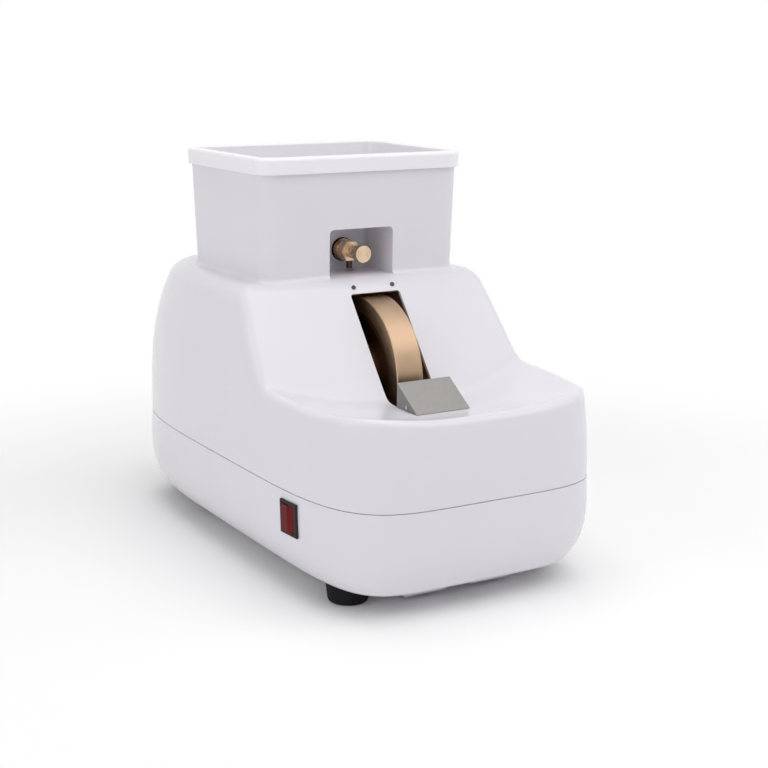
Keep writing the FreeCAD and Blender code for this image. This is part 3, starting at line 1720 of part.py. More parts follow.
def capacitor_clip():
    z = capacitor_axis_z()
    middle = capacitor_y + capacitor_length / 2
    y0 = middle - clip_width / 2
    y1 = middle + clip_width / 2
    outer = capacitor_radius + air_gap + clip_sheet
    band = rod_y(outer, y0, y1, capacitor_x, z)
    leg = box((capacitor_x, y0, chassis_top_z), (capacitor_x + outer, y1, z))
    hollow = box((capacitor_x - fit, y0 - fit, chassis_top_z + clip_sheet), (capacitor_x + outer - clip_sheet, y1 + fit, z))
    foot = box((capacitor_x, y0, chassis_top_z), (capacitor_x + outer + clip_foot, y1, chassis_top_z + clip_sheet))
    clip = fused([band, leg.cut(hollow), foot])
    clip = clip.cut(rod_y(capacitor_radius + air_gap, y0 - overrun, y1 + overrun, capacitor_x, z))
    x, y = clip_screw_place()
    return clip.cut(rod_z(small_screw_radius + fit, chassis_z, chassis_top_z + clip_sheet + overrun, x, y))


def terminal_block():
    half = terminal_pitch * terminal_count / 2
    tail = terminal_end + small_screw_head
    body = box(
        (terminal_x - half, terminal_y - terminal_depth / 2, chassis_top_z),
        (terminal_x + half, terminal_y + terminal_depth / 2, chassis_top_z + terminal_height),
    )
    ears = box(
        (terminal_x - half - tail, terminal_y - terminal_depth / 4, chassis_top_z),
        (terminal_x + half + tail, terminal_y + terminal_depth / 4, chassis_top_z + clip_sheet + clip_sheet),
    )
    block = fused([body, ears])
    top = chassis_top_z + terminal_height
    wells = [rod_z(terminal_well_radius, top - terminal_well_depth, top + overrun, x, terminal_y) for x in pole_xs()]
    holes = [rod_z(small_screw_radius + fit, chassis_z, top, x, y) for x, y in terminal_screw_places()]
    return cut_all(block, wells + holes)


def pole_xs():
    start = terminal_x - terminal_pitch * (terminal_count - 1) / 2
    return [start + terminal_pitch * i for i in range(terminal_count)]


def pole_screws():
    floor = chassis_top_z + terminal_height - terminal_well_depth
    screws = []
    for x in pole_xs():
        screw = rod_z(terminal_screw_radius, floor, floor + terminal_screw_height, x, terminal_y)
        slot = box(
            (x - terminal_screw_radius, terminal_y - clip_sheet / 2, floor + terminal_screw_height / 2),
            (x + terminal_screw_radius, terminal_y + clip_sheet / 2, floor + terminal_screw_height + overrun),
        )
        screws.append(screw.cut(slot))
    return screws


def small_screws():
    """The screws of the capacitor clip, of the terminal block and of its four poles."""
    x, y = clip_screw_place()
    seat = chassis_top_z + clip_sheet
    reach = chassis_thick + clip_sheet + small_screw_tail
    screws = [screw_down(x, y, seat, small_screw_radius, small_screw_head, small_screw_head_height, reach)]
    for x, y in terminal_screw_places():
        seat = chassis_top_z + clip_sheet + clip_sheet
        screws.append(screw_down(x, y, seat, small_screw_radius, small_screw_head, small_screw_head_height, reach))
    return Part.makeCompound(screws + pole_screws())


nodes = {
    "top_cover": top_cover,
    "base_shell": base_shell,
    "rubber_feet": rubber_feet,
    "foot_screws": foot_screws,
    "foot_nuts": foot_nuts,
    "chassis_plate": chassis_plate,
    "cover_screws": cover_screws,
    "splash_chamber": splash_chamber,
    "chamber_screws": chamber_screws,
    "panel_screws": panel_screws,
    "shaft_seal": shaft_seal,
    "drain_spout": drain_spout,
    "water_tank": water_tank,
    "tap_body": tap_body,
    "tap_washers": tap_washers,
    "tap_locknut": tap_locknut,
    "tap_gland": tap_gland,
    "tap_spindle": tap_spindle,
    "tap_knob": tap_knob,
    "tap_spout": tap_spout,
    "wheel_guard": wheel_guard,
    "guard_rivets": guard_rivets,
    "guard_screws": guard_screws,
    "wheel_rim": wheel_rim,
    "wheel_hub": wheel_hub,
    "outer_flange": outer_flange,
    "inner_flange": inner_flange,
    "wheel_nut": wheel_nut,
    "wheel_spindle": wheel_spindle,
    "spindle_bearings": spindle_bearings,
    "spindle_inner_rings": spindle_inner_rings,
    "spindle_housing": spindle_housing,
    "bearing_caps": bearing_caps,
    "cap_screws": cap_screws,
    "spindle_bracket": spindle_bracket,
    "housing_bolts": housing_bolts,
    "frame_bolts": frame_bolts,
    "spindle_pulley": lambda: pulley(spindle_pulley_radius, spindle_radius, wheel_y, wheel_z),
    "motor_pulley": lambda: pulley(motor_pulley_radius, motor_shaft_radius, motor_y, motor_z),
    "drive_belt": drive_belt,
    "motor_shell": motor_shell,
    "motor_left_bell": motor_left_bell,
    "motor_right_bell": motor_right_bell,
    "stator_core": stator_core,
    "stator_windings": stator_windings,
    "rotor_core": rotor_core,
    "motor_shaft": motor_shaft,
    "motor_bearings": motor_bearings,
    "motor_inner_rings": motor_inner_rings,
    "tie_rods": tie_rods,
    "motor_clamps": motor_clamps,
    "switch_housing": switch_housing,
    "switch_rocker": switch_rocker,
    "switch_blades": switch_blades,
    "power_inlet": power_inlet,
    "inlet_pins": inlet_pins,
    "capacitor": capacitor,
    "capacitor_clip": capacitor_clip,
    "terminal_block": terminal_block,
    "small_screws": small_screws,
}

for name, make in nodes.items():
    save(name, make())
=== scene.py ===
# %% [markdown]
# A bench lens edger
#
# An optician grinds the edge of a spectacle lens on this machine. A glossy white moulding
# carries a water tank on top, a brass tap drips on a bronze wheel that stands in a slot, and
# a folded sheet guard sits in front of the wheel. Everything that turns, fits or carries is
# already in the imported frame. This script adds the looks: a cover whose rims are soft, the
# finish of every surface, the camera and the light.

# %% The frame, and its box
import json
import math

import bmesh
import bpy
import numpy as np
from mathutils import Matrix, Vector


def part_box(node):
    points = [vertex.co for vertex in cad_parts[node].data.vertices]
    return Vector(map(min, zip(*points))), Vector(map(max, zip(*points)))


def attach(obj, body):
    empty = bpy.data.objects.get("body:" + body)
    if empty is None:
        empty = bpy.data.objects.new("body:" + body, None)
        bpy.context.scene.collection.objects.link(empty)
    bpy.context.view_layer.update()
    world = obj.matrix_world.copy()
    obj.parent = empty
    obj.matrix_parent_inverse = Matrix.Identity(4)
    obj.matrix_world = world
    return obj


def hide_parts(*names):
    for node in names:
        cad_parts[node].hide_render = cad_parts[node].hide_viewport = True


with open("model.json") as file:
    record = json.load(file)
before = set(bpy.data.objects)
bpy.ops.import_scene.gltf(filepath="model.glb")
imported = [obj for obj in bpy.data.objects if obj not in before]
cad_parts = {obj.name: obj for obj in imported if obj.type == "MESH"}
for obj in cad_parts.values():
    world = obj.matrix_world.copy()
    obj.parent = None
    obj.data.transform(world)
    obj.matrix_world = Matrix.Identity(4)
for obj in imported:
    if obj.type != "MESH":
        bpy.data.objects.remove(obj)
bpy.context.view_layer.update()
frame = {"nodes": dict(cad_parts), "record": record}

# %% [markdown]
# The camera stands in front of the left corner, a little above the tank, as the photograph
# shows. Its turn, tilt and distance were solved from the seam, the tank's rim and the feet,
# so it is set by those angles and by the point that it looks at.

# %% The camera
mm = 0.001
view_turn = math.radians(30.36)
view_tilt = math.radians(12.84)
view_roll = math.radians(0.19)
view_point = Vector((42.39 * mm, -2 * mm, 150.97 * mm))
view_distance = 1584.97 * mm
view_lens = 71.97
view_far = 20


def aim_camera():
    """Back = (-sin turn cos tilt, -cos turn cos tilt, sin tilt); the roll turns right and up."""
    back = Vector((
        -math.sin(view_turn) * math.cos(view_tilt),
        -math.cos(view_turn) * math.cos(view_tilt),
        math.sin(view_tilt),
    ))
    right = (-back).cross(Vector((0, 0, 1))).normalized()
    up = right.cross(-back)
    rolled_right = right * math.cos(view_roll) + up * math.sin(view_roll)
    rolled_up = up * math.cos(view_roll) - right * math.sin(view_roll)
    camera = bpy.data.objects.new("camera", bpy.data.cameras.new("camera"))
    bpy.context.scene.collection.objects.link(camera)
    turned = Matrix((rolled_right, rolled_up, back)).transposed().to_4x4()
    camera.matrix_world = Matrix.Translation(view_point + back * view_distance) @ turned
    camera.data.lens = view_lens
    camera.data.clip_end = view_far
    bpy.context.scene.camera = camera
    return camera


print("camera at", tuple(round(v, 3) for v in aim_camera().location))

# %% [markdown]
# A shape here is a grid of points, worked out as one array. This helper turns such a grid
# into a mesh. It can close the grid on itself along either side, and it turns the faces
# outwards by the sign of the volume that they enclose.

# %% From a grid of points to a mesh


def grid_faces(rows, columns, close_rows, close_columns):
    """Corner numbers of the quads between neighbouring rows and columns of a grid."""
    row = np.arange(rows if close_rows else rows - 1)
    column = np.arange(columns if close_columns else columns - 1)
    i, j = np.meshgrid(row, column, indexing="ij")
    below = i * columns
    above = (i + 1) % rows * columns
    after = (j + 1) % columns
    return np.stack([below + j, below + after, above + after, above + j], -1).reshape(-1, 4)


def mesh_piece(name, points, faces):
    """A mesh object from points and quads, with smooth shading and faces outwards."""
    points = np.asarray(points, np.float64).reshape(-1, 3)
    a, b, c, d = (points[faces[:, k]] for k in range(4))
    volume = (np.cross(a, b) * c).sum() + (np.cross(a, c) * d).sum()
    if volume < 0:
        faces = faces[:, ::-1]
    mesh = bpy.data.meshes.new(name)
    mesh.vertices.add(len(points))
    mesh.loops.add(faces.size)
    mesh.polygons.add(len(faces))
    mesh.vertices.foreach_set("co", points.astype(np.float32).ravel())
    mesh.loops.foreach_set("vertex_index", np.ascontiguousarray(faces, np.int32).ravel())
    mesh.polygons.foreach_set("loop_start", np.arange(0, faces.size, 4, dtype=np.int32))
    mesh.polygons.foreach_set("use_smooth", np.ones(len(faces), bool))
    mesh.update(calc_edges=True)
    piece = bpy.data.objects.new(name, mesh)
    bpy.context.scene.collection.objects.link(piece)
    return piece


# %% [markdown]
# The top cover is one moulding: walls that lean in, a roof, a sloping panel with a dished
# deck in front of it, and the turret round the tank. A sculpted mesh could follow it, but a
# formula keeps it true: each surface is a signed distance, and two surfaces are joined with
# a round of their own radius. Rays from a point inside then meet the outside exactly once.

# %% Sizes of the cover
half_width = 147.5 * mm
body_reach = 266 * mm
seam_z = 103 * mm
roof_z = 271 * mm
wall = 3 * mm
front_power = 5
rear_power = 3.8
roof_side_inset = 15 * mm
roof_front_inset = 30 * mm
roof_rear_inset = 58 * mm
side_lean_power = 2.6
front_lean_power = 2
rear_lean_power = 3
slope_top_y = -47 * mm
slope_angle = math.radians(52.3)
slope_bow_radius = 750 * mm
deck_z = 165 * mm
deck_flat_half = 30 * mm
deck_rise_side = 20 * mm
deck_rise_reach = 140 * mm
deck_rise_start_y = -184 * mm
deck_rise_front = 14.5 * mm
deck_rise_run = 70 * mm
deck_rise_power = 1.6
slope_foot_blend = 7 * mm
turret_half = 107.4 * mm
turret_front_y = -34 * mm
turret_rear_y = 137 * mm
turret_top_z = 386 * mm
turret_spread = 3.1 * mm
turret_corner = 16 * mm
roof_round = 14 * mm
rim_round = 9 * mm
turret_foot_round = 5 * mm


# %% Distances to the cover's surfaces


def cover_plan(x, y, z):
    """(|x/a|^n + |y/b|^n)^(1/n) - 1 over its gradient; a and b shrink from seam to roof."""
    share = np.clip((z - seam_z) / (roof_z - seam_z), 0, 1)
    half = half_width - roof_side_inset * share**side_lean_power
    front = body_reach - roof_front_inset * share**front_lean_power
    rear = body_reach - roof_rear_inset * share**rear_lean_power
    reach = np.where(y < 0, front, rear)
    power = np.where(y < 0, front_power, rear_power)
    across = np.maximum(np.abs(x) / half, 1e-6)
    along = np.maximum(np.abs(y) / reach, 1e-6)
    total = across**power + along**power
    size = total ** (1 / power)
    shrink = size / total
    gradient = np.hypot(shrink * across ** (power - 1) / half, shrink * along ** (power - 1) / reach)
    return (size - 1) / gradient


def front_height(x, y):
    """The sloping panel and the dished deck as one height, blended at the foot of the slope."""
    slope = roof_z + (y - slope_top_y - x * x / (2 * slope_bow_radius)) * math.tan(slope_angle)
    side = np.maximum(0, np.abs(x) - deck_flat_half) / (deck_rise_reach - deck_flat_half)
    front = np.maximum(0, deck_rise_start_y - y) / deck_rise_run
    deck = deck_z + deck_rise_side * side**2 + deck_rise_front * front**deck_rise_power
    gap = slope - deck
    return (slope + deck + np.sqrt(gap * gap + slope_foot_blend**2)) / 2


def above_front(x, y, z):
    """Height above the panel and deck, over the length of the gradient of that height."""
    step = 0.1 * mm
    height = front_height(x, y)
    run_x = (front_height(x + step, y) - height) / step
    run_y = (front_height(x, y + step) - height) / step
    return (z - height) / np.sqrt(1 + run_x**2 + run_y**2)


def turret_plan(x, y, z):
    """Distance to a rectangle with round corners that spreads a little towards the top."""
    grow = turret_spread * (z - roof_z) / (turret_top_z - roof_z)
    middle = (turret_front_y + turret_rear_y) / 2
    across = np.abs(x) - (turret_half + grow - turret_corner)
    along = np.abs(y - middle) - ((turret_rear_y - turret_front_y) / 2 + grow - turret_corner)
    outside = np.hypot(np.maximum(across, 0), np.maximum(along, 0))
    return outside + np.minimum(np.maximum(across, along), 0) - turret_corner


def round_max(a, b, radius):
    """What two surfaces enclose together, with their edge rounded to a radius."""
    return np.minimum(np.maximum(a, b), -radius) + np.hypot(
        np.maximum(a + radius, 0), np.maximum(b + radius, 0)
    )


def cover_distance(x, y, z):
    """Walls, roof and panel rounded together, then joined to the turret with a soft foot."""
    body = round_max(cover_plan(x, y, z), z - roof_z, roof_round)
    body = round_max(body, above_front(x, y, z), rim_round)
    return -round_max(-body, -turret_plan(x, y, z), turret_foot_round)


# %% [markdown]
# A ray leaves a point low inside the cover at each turn and each tilt. Halving the stretch
# between inside and outside again and again finds where it comes out. The points are then
# spread anew along each column, close together where the surface bends and wide apart where
# it is flat, so that the soft rims are smooth without a heavy mesh.

# %% The cover's outside, as a grid
ray_start = np.array((0, 40 * mm, 60 * mm))
cover_columns = 400
cover_rows = 150
dense_rows = 700
row_length = 6 * mm
row_bend = math.radians(7)
outline_far = 0.6
outline_halvings = 40
ray_far = 0.7
ray_halvings = 30


def outline_radius(distance, turn, z):
    """How far the outline at one height lies from the ray's start, for each turn."""
    near = np.zeros_like(turn)
    far = np.full_like(turn, outline_far)
    for _ in range(outline_halvings):
        middle = (near + far) / 2
        inside = distance(middle * np.cos(turn), ray_start[1] + middle * np.sin(turn), z) < 0
        near = np.where(inside, middle, near)
        far = np.where(inside, far, middle)
    return near


def cover_outside():
    """Point = start + t (cos turn cos tilt, sin turn cos tilt, sin tilt), distance(point) = 0."""
    turn = np.linspace(0, 2 * math.pi, cover_columns, endpoint=False)
    low = np.arctan2(seam_z - ray_start[2], outline_radius(cover_plan, turn, seam_z))
    high = np.arctan2(turret_top_z - ray_start[2], outline_radius(turret_plan, turn, turret_top_z))
    share = np.linspace(0, 1, dense_rows)[:, None]
    tilt = low + (high - low) * share
    ray = np.stack([np.cos(turn) * np.cos(tilt), np.sin(turn) * np.cos(tilt), np.sin(tilt)])
    near = np.zeros_like(tilt)
    far = np.full_like(tilt, ray_far)
    for _ in range(ray_halvings):
        middle = (near + far) / 2
        inside = cover_distance(*(ray * middle + ray_start[:, None, None])) < 0
        near = np.where(inside, middle, near)
        far = np.where(inside, far, middle)
    return np.moveaxis(ray * near + ray_start[:, None, None], 0, -1)


def spread_rows(dense, count):
    """Columns cut into equal amounts of length / row_length + bend / row_bend."""
    step = np.diff(dense, axis=0)
    length = np.linalg.norm(step, axis=-1)
    along = step / length[..., None]
    cosine = np.clip((along[1:] * along[:-1]).sum(-1), -1, 1)
    bend = np.zeros_like(length)
    bend[1:] += np.arccos(cosine) / 2
    bend[:-1] += np.arccos(cosine) / 2
    used = np.cumsum(length / row_length + bend / row_bend, 0)
    amount = np.concatenate([np.zeros((1, length.shape[1])), used])
    wanted = np.linspace(0, 1, count)
    rows = np.empty((count, dense.shape[1], 3))
    place = np.arange(len(dense))
    for column in range(dense.shape[1]):
        where = np.interp(wanted * amount[-1, column], amount[:, column], place)
        for axis in range(3):
            rows[:, column, axis] = np.interp(where, place, dense[:, column, axis])
    return rows


def outward(points):
    """The gradient of the cover's distance, as unit vectors."""
    step = 0.05 * mm
    x, y, z = np.moveaxis(points, -1, 0)
    here = cover_distance(x, y, z)
    gradient = np.stack([
        cover_distance(x + step, y, z) - here,
        cover_distance(x, y + step, z) - here,
        cover_distance(x, y, z + step) - here,
    ], -1)
    return gradient / np.linalg.norm(gradient, axis=-1, keepdims=True)


outside = spread_rows(cover_outside(), cover_rows)
print("cover outside:", outside.shape, "highest", round(outside[..., 2].max(), 4))

# %% [markdown]
# The moulding is a shell three millimetres thick. Its inside is the outside moved in along
# the distance's gradient, with fewer rows, because nobody sees it closely. One closed grid
# runs up the outside, over the turret's edge and down the inside, and the edge at the seam
# gets a small round that catches the light.

# %% The cover as a closed shell
inside_step = 4
edge_round = 0.6 * mm
edge_steps = ((1, 0), (0.3, 0.3), (0, 1))


def cover_shell():
    """Rows: the rounded seam edge, the outside upwards, then the inside downwards."""
    foot = outside[0]
    normal = outward(foot)
    edge = []
    for inset, lift in edge_steps:
        row = foot - normal * edge_round * inset
        row[:, 2] = seam_z + edge_round * lift
        edge.append(row)
    kept = np.unique(np.append(np.arange(0, cover_rows, inside_step), cover_rows - 1))
    inside = outside[kept] - wall * outward(outside[kept])
    inside[0, :, 2] = seam_z
    inside[-1, :, 2] = turret_top_z
    rows = np.concatenate([np.stack(edge), outside[1:], inside[::-1]])
    faces = grid_faces(len(rows), cover_columns, True, True)
    return mesh_piece("cover_moulding", rows, faces)


cover = cover_shell()
print("cover faces:", len(cover.data.polygons))

# %% [markdown]
# The slot, the niche for the tap and the drip hole are cut from the shell. A grid could be
# bent round them, but Blender's exact boolean keeps the surface round the cut as it is. The
# niche first gets a lining, because behind the turret's wall there is only the tank's space.

# %% Tools that cut the cover
niche_x = -2.7 * mm
niche_half = 35.4 * mm
niche_back_y = 23 * mm
niche_top_z = 318.5 * mm
niche_corner = 5 * mm
slot_half = 27.5 * mm
slot_front_y = -170 * mm
slot_top_z = 258.2 * mm
slot_corner = 3 * mm
drip_radius = 5 * mm
spout_y = 8 * mm
tap_x = 7 * mm
tap_z = 290.6 * mm
stem_radius = 7.2 * mm
overrun = 5 * mm
hair = 0.02 * mm
corner_segments = 6
rod_sides = 48
parallel = 0.99
sharp_angle = math.radians(35)


def block(name, low, high, corner, rounded):
    """A box from corner to corner; the edges that rounded() picks get a radius."""
    shape = bmesh.new()
    bmesh.ops.create_cube(shape, size=1)
    low, high = Vector(low), Vector(high)
    for vertex in shape.verts:
        vertex.co = Vector(low[k] if vertex.co[k] < 0 else high[k] for k in range(3))
    bmesh.ops.bevel(
        shape,
        geom=[edge for edge in shape.edges if rounded(edge)],
        offset=corner,
        offset_type="OFFSET",
        segments=corner_segments,
        profile=0.5,
        affect="EDGES",
    )
    mesh = bpy.data.meshes.new(name)
    shape.to_mesh(mesh)
    shape.free()
    piece = bpy.data.objects.new(name, mesh)
    bpy.context.scene.collection.objects.link(piece)
    return piece


def rod(name, radius, start, axis, length):
    """A closed cylinder: start + radius (cos t, sin t) square to the axis, and + length along it."""
    turn = np.linspace(0, 2 * math.pi, rod_sides, endpoint=False)
    turned = np.array(Vector(axis).to_track_quat("Z", "Y").to_matrix()).T
    circle = np.stack([radius * np.cos(turn), radius * np.sin(turn), 0 * turn], -1) @ turned
    low = circle + np.array(start)
    high = low + np.array(Vector(axis).normalized()) * length
    side_faces = grid_faces(2, rod_sides, False, True).tolist()
    caps = [tuple(range(rod_sides))[::-1], tuple(range(rod_sides, 2 * rod_sides))]
    mesh = bpy.data.meshes.new(name)
    mesh.from_pydata(np.concatenate([low, high]).tolist(), [], side_faces + caps)
    piece = bpy.data.objects.new(name, mesh)
    bpy.context.scene.collection.objects.link(piece)
    return piece


def along(edge, axis):
    """Whether an edge runs along one axis."""
    run = (edge.verts[1].co - edge.verts[0].co).normalized()
    return abs(run[axis]) > parallel


def combine(piece, tools, operation):
    """Applies one boolean for each tool, and removes the tool."""
    for tool in tools:
        step = piece.modifiers.new("cut", "BOOLEAN")
        step.operation = operation
        step.solver = "EXACT"
        step.object = tool
        graph = bpy.context.evaluated_depsgraph_get()
        made = bpy.data.meshes.new_from_object(piece.evaluated_get(graph))
        piece.modifiers.clear()
        old = piece.data
        piece.data = made
        bpy.data.meshes.remove(old)
        bpy.data.objects.remove(tool)


def middle_of(edge):
    """The point halfway between an edge's ends."""
    return (edge.verts[0].co + edge.verts[1].co) / 2


lining = block(
    "lining",
    (niche_x - niche_half - wall, turret_front_y + wall / 3, roof_z - wall / 2),
    (niche_x + niche_half + wall, niche_back_y + wall, niche_top_z + wall),
    niche_corner,
    lambda edge: along(edge, 1) and middle_of(edge).z > roof_z,
)
combine(cover, [lining], "UNION")
niche = block(
    "niche",
    (niche_x - niche_half, turret_front_y - turret_foot_round - overrun, roof_z + hair),
    (niche_x + niche_half, niche_back_y, niche_top_z),
    niche_corner,
    lambda edge: (along(edge, 1) and middle_of(edge).z > roof_z + wall)
    or (along(edge, 2) and middle_of(edge).y > 0),
)
slot = block(
    "slot",
    (-slot_half, slot_front_y, deck_z - wall - overrun),
    (slot_half, slope_top_y, slot_top_z),
    slot_corner,
    lambda edge: (along(edge, 1) and middle_of(edge).z > deck_z)
    or (along(edge, 2) and middle_of(edge).y < slot_front_y / 2),
)
drip = rod("drip", drip_radius, (tap_x, spout_y, roof_z - wall - overrun), (0, 0, 1), wall + 2 * overrun)
stem = rod("stem", stem_radius, (tap_x, niche_back_y - overrun, tap_z), (0, 1, 0), wall + 2 * overrun)
combine(cover, [niche, slot, drip, stem], "DIFFERENCE")
cover.data.set_sharp_from_angle(angle=sharp_angle)
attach(cover, "machine")
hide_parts("top_cover")
print("cover after the cuts:", len(cover.data.polygons), "faces")

# %% [markdown]
# Finishes are written as formulas. A small class wraps a node's output, so that a sum or a
# product of two outputs adds its Math node by itself. Colours go through a Mix node, because
# a Math node would turn them grey. Everything else comes from one method that takes a
# node's type, its settings and its sockets.

# %% Values and finishes
noise_roughness = 0.55


class Value:
    """A node's output that can stand in a sum or a product."""

    def __init__(self, finish, socket):
        self.finish = finish
        self.socket = socket

    def maths(self, operation, first, second):
        return self.finish.maths(operation, first, second)

    def __add__(self, other):
        return self.maths("ADD", self, other)

    def __radd__(self, other):
        return self.maths("ADD", other, self)

    def __mul__(self, other):
        return self.maths("MULTIPLY", self, other)

    def __rmul__(self, other):
        return self.maths("MULTIPLY", other, self)

    def __pow__(self, other):
        return self.maths("POWER", self, other)


class Finish:
    """A material with its shader; the methods add the nodes that its pattern needs."""

    def __init__(self, name, **fixed):
        self.material = bpy.data.materials.new(name)
        self.material.use_nodes = True
        self.tree = self.material.node_tree
        self.shader = self.tree.nodes["Principled BSDF"]
        for socket, value in fixed.items():
            self.shader.inputs[socket.replace("_", " ")].default_value = value

    def node(self, kind, settings=None, sockets=None, output=0):
        """A node of a kind, its settings first, then values or links for its sockets."""
        made = self.tree.nodes.new(kind)
        for setting, value in (settings or {}).items():
            setattr(made, setting, value)
        for socket, value in (sockets or {}).items():
            self.join(made.inputs[socket], value)
        return Value(self, made.outputs[output])

    def maths(self, operation, first, second):
        """A Math node on two values or numbers."""
        return self.node("ShaderNodeMath", {"operation": operation}, {0: first, 1: second})

    def join(self, socket, value):
        """Links a value to a socket, or writes a constant there."""
        if isinstance(value, Value):
            self.tree.links.new(value.socket, socket)
        else:
            socket.default_value = value

    def feed(self, socket, value):
        """Feeds one socket of the shader."""
        self.join(self.shader.inputs[socket], value)

    def place(self, centre=(0, 0, 0), stretch=(1, 1, 1)):
        """Object coordinates, moved to a centre and stretched along the axes."""
        here = self.node("ShaderNodeTexCoord", output="Object")
        shift = [-c * s for c, s in zip(centre, stretch)]
        return self.node("ShaderNodeMapping", {}, {"Vector": here, "Location": shift, "Scale": stretch})

    def noise(self, size, detail=2, stretch=(1, 1, 1), centre=(0, 0, 0), place=None):
        """Soft noise, from 0 to 1, whose blots are about one size across."""
        where = place or self.place(centre, stretch)
        sockets = {"Vector": where, "Scale": 1 / size, "Detail": detail, "Roughness": noise_roughness}
        return self.node("ShaderNodeTexNoise", {}, sockets)

    def rings(self, centre, axis, size):
        """Turning marks: noise that depends on the way along an axis and on the radius only."""
        here = self.place(centre)
        parts = [self.node("ShaderNodeSeparateXYZ", {}, {0: here}, output=k) for k in range(3)]
        along_axis = parts.pop(axis)
        radius = (parts[0] * parts[0] + parts[1] * parts[1]) ** 0.5
        where = self.node("ShaderNodeCombineXYZ", {}, {0: along_axis, 1: radius})
        return self.noise(size, place=where)

    def mix(self, share, first, second):
        """From one colour to another as the share goes from 0 to 1."""
        sockets = {0: share, 6: (*first, 1), 7: (*second, 1)}
        return self.node("ShaderNodeMix", {"data_type": "RGBA"}, sockets, output=2)

    def steps(self, value, low, high):
        """0 below low, 1 above high, smooth between."""
        return self.node(
            "ShaderNodeMapRange",
            {"interpolation_type": "SMOOTHSTEP"},
            {"Value": value, "From Min": low, "From Max": high},
        )

    def relief(self, height, depth):
        """Feeds the normal with a height that is worth a depth in metres."""
        sockets = {"Height": height, "Distance": depth, "Strength": 1.0}
        self.feed("Normal", self.node("ShaderNodeBump", {}, sockets, output="Normal"))


# %% [markdown]
# The moulding is glossy white with a breath of lavender. Up close a real one has orange
# peel, faint flow clouds and hairline scuffs from wiping, so the colour, the gloss and the
# normal each carry a little of that.

# %% White plastic
cloud_size = 90 * mm
scuff_size = 2.2 * mm
scuff_stretch = (0.15, 0.3, 1.0)
peel_size = 3.5 * mm
peel_depth = 0.012 * mm


def white_plastic(name, dark, light):
    """Flow clouds in the colour, scuffs in the gloss, orange peel in the normal."""
    finish = Finish(name, IOR=1.48)
    clouds = finish.noise(cloud_size, 3)
    scuffs = finish.steps(finish.noise(scuff_size, 3, stretch=scuff_stretch), 0.62, 0.75)
    finish.feed("Base Color", finish.mix(clouds, dark, light))
    finish.feed("Roughness", clouds * 0.06 + scuffs * 0.05 + 0.17)
    finish.relief(finish.noise(peel_size, 2), peel_depth)
    return finish.material


# %% [markdown]
# The wheel's rim is sintered bronze with diamond in it. Dressing leaves fine rings round it,
# and glass slurry dries in pale clouds, so its colour follows rings and blots together.

# %% Bronze wheel
wheel_low, wheel_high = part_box("wheel_rim")
wheel_centre = tuple((wheel_low + wheel_high) / 2)
ring_size = 0.5 * mm
slurry_size = 14 * mm
grit_size = 0.4 * mm
grit_depth = 0.02 * mm
bronze_dark = (0.36, 0.245, 0.16)
bronze_light = (0.52, 0.37, 0.25)


def bronze_bond(name):
    """Rings and slurry in the colour, slurry and grit in the gloss, rings and grit in the normal."""
    finish = Finish(name, Metallic=1.0)
    rings = finish.rings(wheel_centre, 0, ring_size)
    slurry = finish.noise(slurry_size, 4)
    grit = finish.noise(grit_size, 2)
    finish.feed("Base Color", finish.mix(rings * 0.45 + slurry * 0.55, bronze_dark, bronze_light))
    finish.feed("Roughness", slurry * 0.16 + grit * 0.10 + 0.26)
    finish.relief(rings * 0.6 + grit * 0.4, grit_depth)
    return finish.material


# %% [markdown]
# Bare metals differ by colour, by the way they were made and by how they have aged. One
# function makes them all: turned marks, cast grain or drawn lines are only other sizes and
# stretches of the same noise. A second one does the same for paint, rubber and plain plastic.

# %% Metals, paint, rubber and plain plastic
tarnish_spread = 12
blot_spread = 10


def metal(name, dark, light, roughness, size, stretch=(1, 1, 1), depth=0.01 * mm, stain=0.08):
    """Streaks of one size, blots of tarnish over them, and a fine relief."""
    finish = Finish(name, Metallic=1.0)
    streaks = finish.noise(size, 3, stretch)
    tarnish = finish.noise(size * tarnish_spread, 3)
    finish.feed("Base Color", finish.mix(streaks * 0.5 + tarnish * 0.5, dark, light))
    finish.feed("Roughness", tarnish * stain + streaks * 0.06 + roughness)
    finish.relief(streaks, depth)
    return finish.material


def painted(name, dark, light, roughness, size, depth, shine=0.5):
    """Paint, rubber or moulded plastic: blots of colour, uneven gloss, and a fine texture."""
    finish = Finish(name, Specular_IOR_Level=shine)
    blots = finish.noise(size * blot_spread, 3)
    grain = finish.noise(size, 2)
    finish.feed("Base Color", finish.mix(blots, dark, light))
    finish.feed("Roughness", blots * 0.12 + grain * 0.06 + roughness)
    finish.relief(grain, depth)
    return finish.material


# %% [markdown]
# The rocker is clear red plastic over a lamp that is off. Light sinks into it instead of
# coming back as shine, so it gets a dark core, little gloss and a thin clear coat.

# %% Red rocker
lens_blot_size = 6 * mm
lens_grain_size = 0.8 * mm
lens_grain_depth = 0.01 * mm
lens_dark = (0.085, 0.004, 0.005)
lens_light = (0.17, 0.008, 0.009)


def red_lens(name):
    """Blots in the colour, the gloss and the coat, and a fine grain in the normal."""
    finish = Finish(name, Coat_Roughness=0.1, Specular_IOR_Level=0.08)
    blots = finish.noise(lens_blot_size, 2)
    finish.feed("Base Color", finish.mix(blots, lens_dark, lens_light))
    finish.feed("Roughness", blots * 0.1 + 0.3)
    finish.feed("Coat Weight", blots * 0.04 + 0.02)
    finish.relief(finish.noise(lens_grain_size, 2), lens_grain_depth)
    return finish.material
